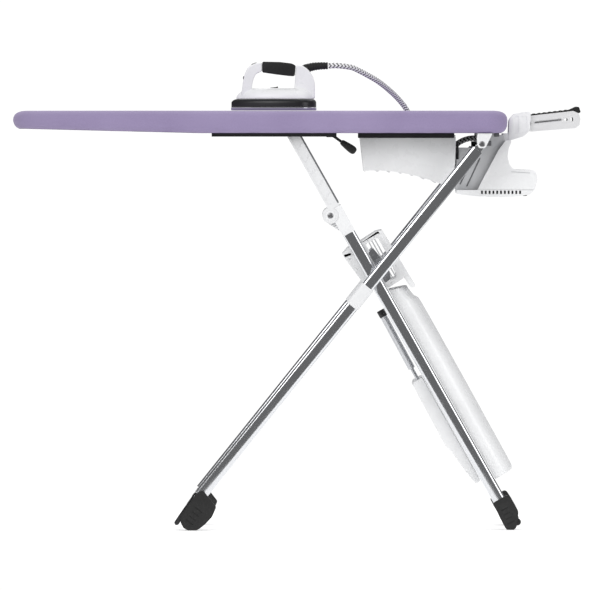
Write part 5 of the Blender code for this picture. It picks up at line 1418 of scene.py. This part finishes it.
PLATE_HALF = 0.0062
for k, (x, z) in enumerate(((0.4883, 0.9626), (0.4687, 0.9403))):
    plate = slab("screw_plate_" + str(k), filleted([
        (x - PLATE_HALF, z - PLATE_HALF, 0.001), (x + PLATE_HALF, z - PLATE_HALF, 0.001),
        (x + PLATE_HALF, z + PLATE_HALF, 0.001), (x - PLATE_HALF, z + PLATE_HALF, 0.001)]),
        -BODY_HALF - 0.0022, -BODY_HALF)
    soften(plate, 0.0006, 1)
    settle(plate, "board", "grey_plastic", "grey_moulding")
seal = slab("housing_seal", filleted(tail_corners((
    (-0.1237, -0.1190, 0.002), (-0.1180, -0.1190, 0.002), (-0.1180, -0.0740, 0.002),
    (-0.1237, -0.0740, 0.002)))),
    -BODY_HALF - 0.0020, -BODY_HALF + 0.002)
soften(seal, 0.0006, 1)
settle(seal, "board", "black_plastic", "black_moulding")

# %% Mould the cowl and its plug
neck = slab("cowl_neck", filleted(tail_corners((
    (-0.0140, -0.0800, 0), (-0.0100, -0.0556, 0), (0.0045, -0.0556, 0), (0.0105, -0.0700, 0.004),
    (0.0100, -0.0800, 0)))), -CHEEK_HALF + 0.0015, CHEEK_HALF - 0.0015)
soften(neck, 0.0008, 2)
settle(neck, "board", "white_plastic", "white_gloss_moulding")
cowl = slab("steam_cowl", filleted(tail_corners((
    (-0.0037, -0.0723, 0.003), (0.0123, -0.0723, 0.004), (0.0037, -0.0931, 0.03), (0.0012, -0.1127, 0.03),
    (0.0061, -0.1323, 0.020), (0.0159, -0.1433, 0.014), (0.0686, -0.1458, 0.010), (0.0747, -0.1666, 0.020),
    (0.0674, -0.1930, 0), (-0.0723, -0.1930, 0), (-0.0613, -0.1715, 0.03), (-0.0417, -0.1348, 0.03),
    (-0.0221, -0.0980, 0.03))), 8), -COWL_HALF, COWL_HALF)
take_away(cowl, slab("inside", filleted(tail_corners((
    (-0.1000, -0.0755, 0), (0.0078, -0.0755, 0.002), (0.0007, -0.0935, 0.03), (-0.0018, -0.1128, 0.03),
    (0.0033, -0.1338, 0.018), (0.0146, -0.1462, 0.012), (0.0662, -0.1487, 0.008), (0.0716, -0.1667, 0.02),
    (0.0640, -0.2000, 0), (-0.1000, -0.2000, 0)))), -COWL_HALF + 0.003, COWL_HALF - 0.003))
soften(cowl, 0.0022, 3)
settle(cowl, "board", "white_plastic", "white_gloss_moulding", "generator_cowl")
shelf_rib = slab("cowl_shelf_line", filleted(tail_corners((
    (0.0100, -0.1500, 0.001), (0.0560, -0.1530, 0.001), (0.0560, -0.1516, 0.001),
    (0.0100, -0.1486, 0.001)))),
    -COWL_HALF - 0.0007, -COWL_HALF + 0.001)
settle(shelf_rib, "board", "white_plastic", "pale_grey_moulding")
plug_centre = (TAIL + 0.0425, TOP - 0.2000)
plug = slab("drain_plug", filleted([(plug_centre[0] - 0.0088, plug_centre[1] + 0.0030, 0.001),
                                    (plug_centre[0] - 0.0080, plug_centre[1] - 0.0085, 0.007),
                                    (plug_centre[0] + 0.0080, plug_centre[1] - 0.0085, 0.007),
                                    (plug_centre[0] + 0.0088, plug_centre[1] + 0.0030, 0.001)]),
            -COWL_HALF + 0.010, -COWL_HALF + 0.046)
soften(plug, 0.0008, 2)
settle(plug, "board", "black_plastic", "black_moulding")

# %% Mould the vented base
VENT_COUNT = 11
base = slab("steam_base", filleted(tail_corners((
    (-0.1237, -0.1935, 0), (0.0662, -0.1935, 0), (0.0551, -0.2051, 0.010), (0.0221, -0.2097, 0.04),
    (-0.0147, -0.2114, 0.06), (-0.0760, -0.2092, 0.06), (-0.1237, -0.2034, 0.006)))), -COWL_HALF, COWL_HALF)
take_away(base,
          slab("inside", off_tail([(-0.1212, -0.1900), (0.0615, -0.1900), (0.0535, -0.2028),
                                   (0.0221, -0.2072), (-0.0147, -0.2089), (-0.0760, -0.2067),
                                   (-0.1212, -0.2012)]),
                     -COWL_HALF + 0.003, COWL_HALF - 0.003))
for i in range(VENT_COUNT):
    x = -0.0637 + 0.0093 * i
    for sign in (-1, 1):
        take_away(base, slab("vent", filleted(tail_corners((
            (x, -0.2035, 0.0009), (x + 0.0046, -0.2035, 0.0009), (x + 0.0046, -0.1952, 0.0009),
            (x, -0.1952, 0.0009))), 2),
            sign * (COWL_HALF - 0.006), sign * (COWL_HALF + 0.01)))
soften(base, 0.0009, 2)
settle(base, "board", "white_plastic", "white_gloss_moulding", "generator_base")
# Painted shade: a black sheet just inside the front vents, on that side only, stands in for the dark inside
# of the base.
dark = slab("painted_shade_behind_vents", off_tail([(-0.0660, -0.2028), (0.0410, -0.2028), (0.0410, -0.1955),
                                      (-0.0660, -0.1955)]),
            -COWL_HALF + 0.0033, -COWL_HALF + 0.0045)
settle(dark, "board", "black_plastic", "black_moulding")

# %% [markdown]
# ## Iron rest
#
# The white bracket wraps over the tail of the board in soft vertical bands. The tray is sheet metal with a
# long rounded slot in each flank and a black rubber mat with a raised tip.

# %% Mould the bracket of the rest
REST_PIVOT = Vector((TAIL + 0.0368, TOP - 0.0343))
REST_HALF = 0.050
rest_outline = filleted(tail_corners((
    (0.0037, -0.0720, 0.002), (0.0061, -0.0221, 0.02), (0.0172, -0.0086, 0.010), (0.0515, -0.0025, 0.010),
    (0.0588, -0.0049, 0.006), (0.0564, -0.0515, 0.02), (0.0392, -0.0637, 0.014), (0.0123, -0.0720, 0.010))),
    8)
rest_bracket = slab("rest_collar", rest_outline, -CHEEK_HALF, CHEEK_HALF)
take_away(rest_bracket,
          slab("inside", off_tail([(0.0125, -0.0900), (0.0800, -0.0900), (0.0800, 0.0300), (0.0125, 0.0300)]),
                             -REST_HALF - 0.0003, REST_HALF + 0.0003))
for sign in (-1, 1):
    for x0, x1 in ((0.0180, 0.0290), (0.0345, 0.0500)):
        band = filleted(tail_corners(((x0, -0.0560, 0.003), (x1, -0.0520, 0.003), (x1, -0.0130, 0.003),
                                      (x0, -0.0150, 0.003))))
        take_away(rest_bracket, slab("band", band, sign * (CHEEK_HALF - 0.0013), sign * (CHEEK_HALF + 0.01)))
add_on(rest_bracket, slab("pin", circle(REST_PIVOT, 0.004, 24), -REST_HALF - 0.002, REST_HALF + 0.002))
soften(rest_bracket, 0.0024, 3)
settle(rest_bracket, "board", "white_plastic", "white_gloss_moulding", "rest_bracket")

# %% Press the tray and cast the mat
TRAY_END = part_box("rest_mat")[1].x - REST_PIVOT.x


def rest_corners(rows):
    return [(REST_PIVOT.x + x, REST_PIVOT.y + z, r) for x, z, r in rows]


tray = slab("rest_tray_shell", filleted(rest_corners((
    (-0.0100, 0.0080, 0.006), (-0.0020, 0.0180, 0.006), (0.0147, 0.0208, 0.01),
    (TRAY_END - 0.0168, 0.0331, 0.006), (TRAY_END - 0.0046, 0.0270, 0.004),
    (TRAY_END - 0.0009, 0.0147, 0.006), (TRAY_END - 0.0033, -0.0012, 0.004),
    (TRAY_END - 0.0119, -0.0086, 0.004), (0.0221, -0.0172, 0.02), (0.0040, -0.0130, 0.01),
    (-0.0080, -0.0080, 0.006)))),
    -REST_HALF, REST_HALF)
take_away(tray, slab("dish", filleted(rest_corners((
    (0.0300, 0.0260, 0), (TRAY_END - 0.0140, 0.0480, 0), (TRAY_END - 0.0140, 0.0020, 0.004),
    (0.0300, -0.0100, 0.004)))),
    -REST_HALF + 0.004, REST_HALF - 0.004))
take_away(tray, slab("bore", circle(REST_PIVOT, 0.0045, 24), -REST_HALF - 0.01, REST_HALF + 0.01))
TRAY_SLOPE = math.atan2(0.0331 - 0.0208, TRAY_END - 0.0168 - 0.0147)
for sign in (-1, 1):
    face = sign * REST_HALF
    for x, z, long, wide, depth in ((0.0640, 0.0085, 0.072, 0.0072, 0.0016),
                                    (0.1080, 0.0120, 0.008, 0.0060, 0.006),
                                    (0.0200, 0.0030, 0.006, 0.0090, 0.006),
                                    (0.1225, 0.0130, 0.006, 0.0100, 0.006)):
        bar = slanted_bar(REST_PIVOT.x + x, REST_PIVOT.y + z, long, wide, TRAY_SLOPE)
        take_away(tray, slab("slot", filleted([(*p, wide * 0.45) for p in bar]), face - sign * depth,
                             face + sign * 0.01))
soften(tray, 0.0008, 2)
settle(tray, "iron_rest", "steel", "pale_sheet_metal", "rest_tray")
for side, sign in SIDES:
    bar = slanted_bar(REST_PIVOT.x + 0.0640, REST_PIVOT.y + 0.0085, 0.066, 0.0034, TRAY_SLOPE)
    runner = slab("tray_runner_" + side, filleted([(*p, 0.0016) for p in bar]), sign * (REST_HALF - 0.0014),
                  sign * (REST_HALF - 0.0002))
    soften(runner, 0.0004, 1)
    settle(runner, "iron_rest", "steel", "zinc_pin")
mat = slab("rest_mat_rubber", filleted(rest_corners((
    (0.0160, 0.0213, 0.001), (TRAY_END - 0.0167, 0.0336, 0.004), (TRAY_END - 0.0040, 0.0277, 0.003),
    (TRAY_END, 0.0306, 0.002), (TRAY_END - 0.0040, 0.0429, 0.003), (TRAY_END - 0.0110, 0.0441, 0.003),
    (TRAY_END - 0.0281, 0.0362, 0.02), (0.0125, 0.0240, 0.001)))), -REST_HALF, REST_HALF)
soften(mat, 0.0008, 2)
settle(mat, "iron_rest", "rubber", "black_rubber", "rest_mat")
for i in range(7):
    x = 0.030 + 0.0130 * i
    z = 0.0240 + (0.0362 - 0.0240) * (x - 0.0125) / (TRAY_END - 0.0281 - 0.0125)
    rib = slab("mat_rib_" + str(i), filleted([(*p, 0.0006) for p in slanted_bar(
        REST_PIVOT.x + x, REST_PIVOT.y + z + 0.0002, 0.0050, 0.0018, TRAY_SLOPE)], 3), -REST_HALF + 0.006,
        REST_HALF - 0.006)
    settle(rib, "iron_rest", "rubber", "black_rubber")

# %% [markdown]
# ## The iron
#
# The plan of an iron is a pointed arch. The soleplate, the black skirt and the white shell are that plan at
# rising heights and shrinking insets. The shell's dome, its front arm and its rear column are separate solids
# that overlap; a voxel remesh fuses them, and a little smoothing leaves the soft fillets of a moulding.

# %% Cast the soleplate and the skirt
IRON_X = (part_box("iron_soleplate")[0].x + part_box("iron_soleplate")[1].x) / 2 + 0.00065
IRON_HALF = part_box("iron_soleplate")[1].y
SOLE_FRONT = -0.1054
SOLE_BACK = 0.1041


def iron_plan(inset, z, sides=30):
    front = IRON_X + SOLE_FRONT + inset * 1.6
    back = IRON_X + SOLE_BACK - inset
    half = IRON_HALF - inset
    shoulder = back - 0.045
    edge = []
    for i in range(sides + 1):
        t = (i / sides) ** 1.6
        edge.append((front + (shoulder - front) * t, half * (1 - (1 - t) ** 2.1) ** 0.75))
    for i in range(1, 13):
        a = math.pi / 2 * i / 12
        edge.append((shoulder + 0.045 * math.sin(a), half * max(math.cos(a), 0.0) ** 0.8 if i < 12 else 0.0))
    mirrored = [(x, -y) for x, y in reversed(edge[1:-1])]
    return [(x, y, TOP + z) for x, y in edge + mirrored]


print("iron middle", round(IRON_X, 4))
sole = stack("soleplate", [iron_plan(0.0016, 0.0005), iron_plan(0.0004, 0.0010), iron_plan(0.0, 0.0020),
                           iron_plan(0.0, 0.0074), iron_plan(0.0006, 0.0080)])
only(sole)
bpy.ops.object.shade_smooth_by_angle(angle=math.radians(34.0))
settle(sole, "iron", "steel", "iron_sole", "iron_soleplate")
skirt = stack("heat_skirt", [iron_plan(0.0014, 0.0083), iron_plan(0.0006, 0.0090), iron_plan(0.0006, 0.0190),
                             iron_plan(0.0010, 0.0212), iron_plan(0.0020, 0.0234), iron_plan(0.0036, 0.0254),
                             iron_plan(0.0056, 0.0270), iron_plan(0.0076, 0.0280), iron_plan(0.0086, 0.0283)])
only(skirt)
bpy.ops.object.shade_smooth_by_angle(angle=math.radians(34.0))
settle(skirt, "iron", "black_plastic", "black_moulding", "iron_skirt")

# %% Mould the shell in one skin


def iron_corners(rows):
    return [(IRON_X + x, TOP + z, r) for x, z, r in rows]


dome_rows = [(0.0078, 0.0287)]
for i in range(1, 9):
    a = math.pi / 2 * i / 9
    dome_rows.append((0.0078 + 0.0310 * (1 - math.cos(a)), 0.0295 + 0.0254 * math.sin(a)))
shell = stack("iron_body", [iron_plan(*row) for row in dome_rows])
FRONT_ARM = ((-0.0805, 0.0360, 0.004), (-0.0764, 0.0688, 0.05), (-0.0718, 0.0906, 0.03),
             (-0.0625, 0.1080, 0.02), (-0.0466, 0.1160, 0.03), (-0.0292, 0.1184, 0.004),
             (-0.0292, 0.0965, 0.003), (-0.0449, 0.0888, 0.012), (-0.0506, 0.0750, 0.03),
             (-0.0559, 0.0500, 0.02), (-0.0575, 0.0400, 0.004))
COLUMN = ((0.0534, 0.1108, 0.004), (0.0690, 0.1108, 0.012), (0.0838, 0.1006, 0.014), (0.0950, 0.0845, 0.03),
          (0.1003, 0.0662, 0.04), (0.1004, 0.0292, 0.003), (0.0560, 0.0292, 0.003), (0.0498, 0.0360, 0.004),
          (0.0500, 0.0560, 0.02), (0.0512, 0.0740, 0.03))
arm_solid = slab("arm", filleted(iron_corners(FRONT_ARM)), -0.0150, 0.0150)
soften(arm_solid, 0.0050, 4)
column_solid = slab("column", filleted(iron_corners(COLUMN)), -0.0195, 0.0195)
soften(column_solid, 0.0070, 4)
only(shell, arm_solid, column_solid)
bpy.ops.object.join()
melt(shell, 0.0013, 6)
steam_box = filleted(iron_corners(((-0.0560, 0.1025, 0.0), (-0.0400, 0.1025, 0.0), (-0.0400, 0.1300, 0.0),
                                   (-0.0560, 0.1300, 0.0))))
take_away(shell, slab("steam_well", steam_box, -0.0085, 0.0085))
front_box = filleted(iron_corners(((-0.1028, 0.0750, 0.0), (-0.0663, 0.0750, 0.0), (-0.0663, 0.0850, 0.0),
                                   (-0.1028, 0.0850, 0.0))))
take_away(shell, slab("front_well", front_box, -0.0065, 0.0065))
only(shell)
bpy.ops.object.shade_smooth_by_angle(angle=math.radians(50.0))
settle(shell, "iron", "white_plastic", "white_gloss_moulding", "iron_shell")

# %% Mould the grip
grip = slab("iron_handle", filleted(iron_corners((
    (-0.0290, 0.1198, 0.004), (0.0147, 0.1190, 0.08), (0.0441, 0.1154, 0.03), (0.0530, 0.1102, 0.005),
    (0.0508, 0.0838, 0.005), (0.0360, 0.0846, 0.02), (0.0060, 0.0882, 0.06), (-0.0290, 0.0934, 0.004))), 8),
    -0.0165, 0.0165)
soften(grip, 0.0062, 5)
settle(grip, "iron", "black_plastic", "black_rubber", "iron_grip")
for i in range(6):
    s = -0.0180 + 0.0098 * i
    line = slab("grip_line_" + str(i), filleted(iron_corners((
        (s, 0.0985, 0.0004), (s + 0.0012, 0.0985, 0.0004), (s + 0.0022, 0.1085, 0.0004),
        (s + 0.0010, 0.1085, 0.0004))), 2),
        -0.01675, 0.01675)
    settle(line, "iron", "black_plastic", "black_moulding")

# %% Mould the buttons, the slider and the strain relief
steam = slab("steam_trigger", filleted(iron_corners((
    (-0.0555, 0.1060, 0.001), (-0.0405, 0.1060, 0.001), (-0.0405, 0.1178, 0.003), (-0.0470, 0.1172, 0.02),
    (-0.0555, 0.1136, 0.003)))), -0.0080, 0.0080)
soften(steam, 0.0018, 3)
settle(steam, "steam_button", "black_plastic", "black_moulding", "steam_button")
front = slab("front_trigger", filleted(iron_corners((
    (-0.0764, 0.0757, 0.0022), (-0.0688, 0.0757, 0.001), (-0.0688, 0.0843, 0.001),
    (-0.0756, 0.0843, 0.0022)))),
    -0.0060, 0.0060)
soften(front, 0.0008, 2)
settle(front, "front_button", "black_plastic", "black_moulding", "front_button")
low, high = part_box("thumb_slider")
slider = slab("thumb_slide", filleted(iron_corners((
    (-0.0090, 0.0552, 0.0004), (0.0097, 0.0552, 0.0004), (0.0097, 0.0594, 0.0010), (0.0040, 0.0576, 0.006),
    (-0.0090, 0.0562, 0.0004)))), low.y, high.y)
soften(slider, 0.0006, 2)
settle(slider, "thumb_slider", "black_plastic", "black_moulding", "thumb_slider")
RELIEF_LINE = ((0.0716, 0.0983), (0.0790, 0.1025), (0.0931, 0.1070), (0.1120, 0.1092), (0.1318, 0.1097))
relief_path = smooth_path([(IRON_X + x, 0.0, TOP + z) for x, z in RELIEF_LINE], 0.0011)
relief_rings = []
for i, point in enumerate(relief_path):
    ahead = relief_path[min(i + 1, len(relief_path) - 1)]
    behind = relief_path[max(i - 1, 0)]
    tangent = (ahead - behind).normalized()
    rise = Vector((0, 1, 0)).cross(tangent)
    share = i / (len(relief_path) - 1)
    size = 0.0118 - 0.0030 * share - (0.0012 if i % 4 in (2, 3) and share > 0.25 else 0.0)
    relief_rings.append([tuple(point + Vector((0, 1, 0)) * (size * math.cos(math.tau * k / 28))
                               + rise * (size * math.sin(math.tau * k / 28))) for k in range(28)])
strain_relief = stack("strain_relief", relief_rings)
only(strain_relief)
bpy.ops.object.shade_smooth_by_angle(angle=math.radians(50.0))
settle(strain_relief, "iron", "rubber", "black_rubber", "hose_relief")

# %% Finish
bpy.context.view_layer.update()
shown = [o for o in bpy.context.scene.objects if o.type == "MESH" and not o.hide_render]
print("pieces shown", len(shown), "faces", sum(len(o.data.polygons) for o in shown))
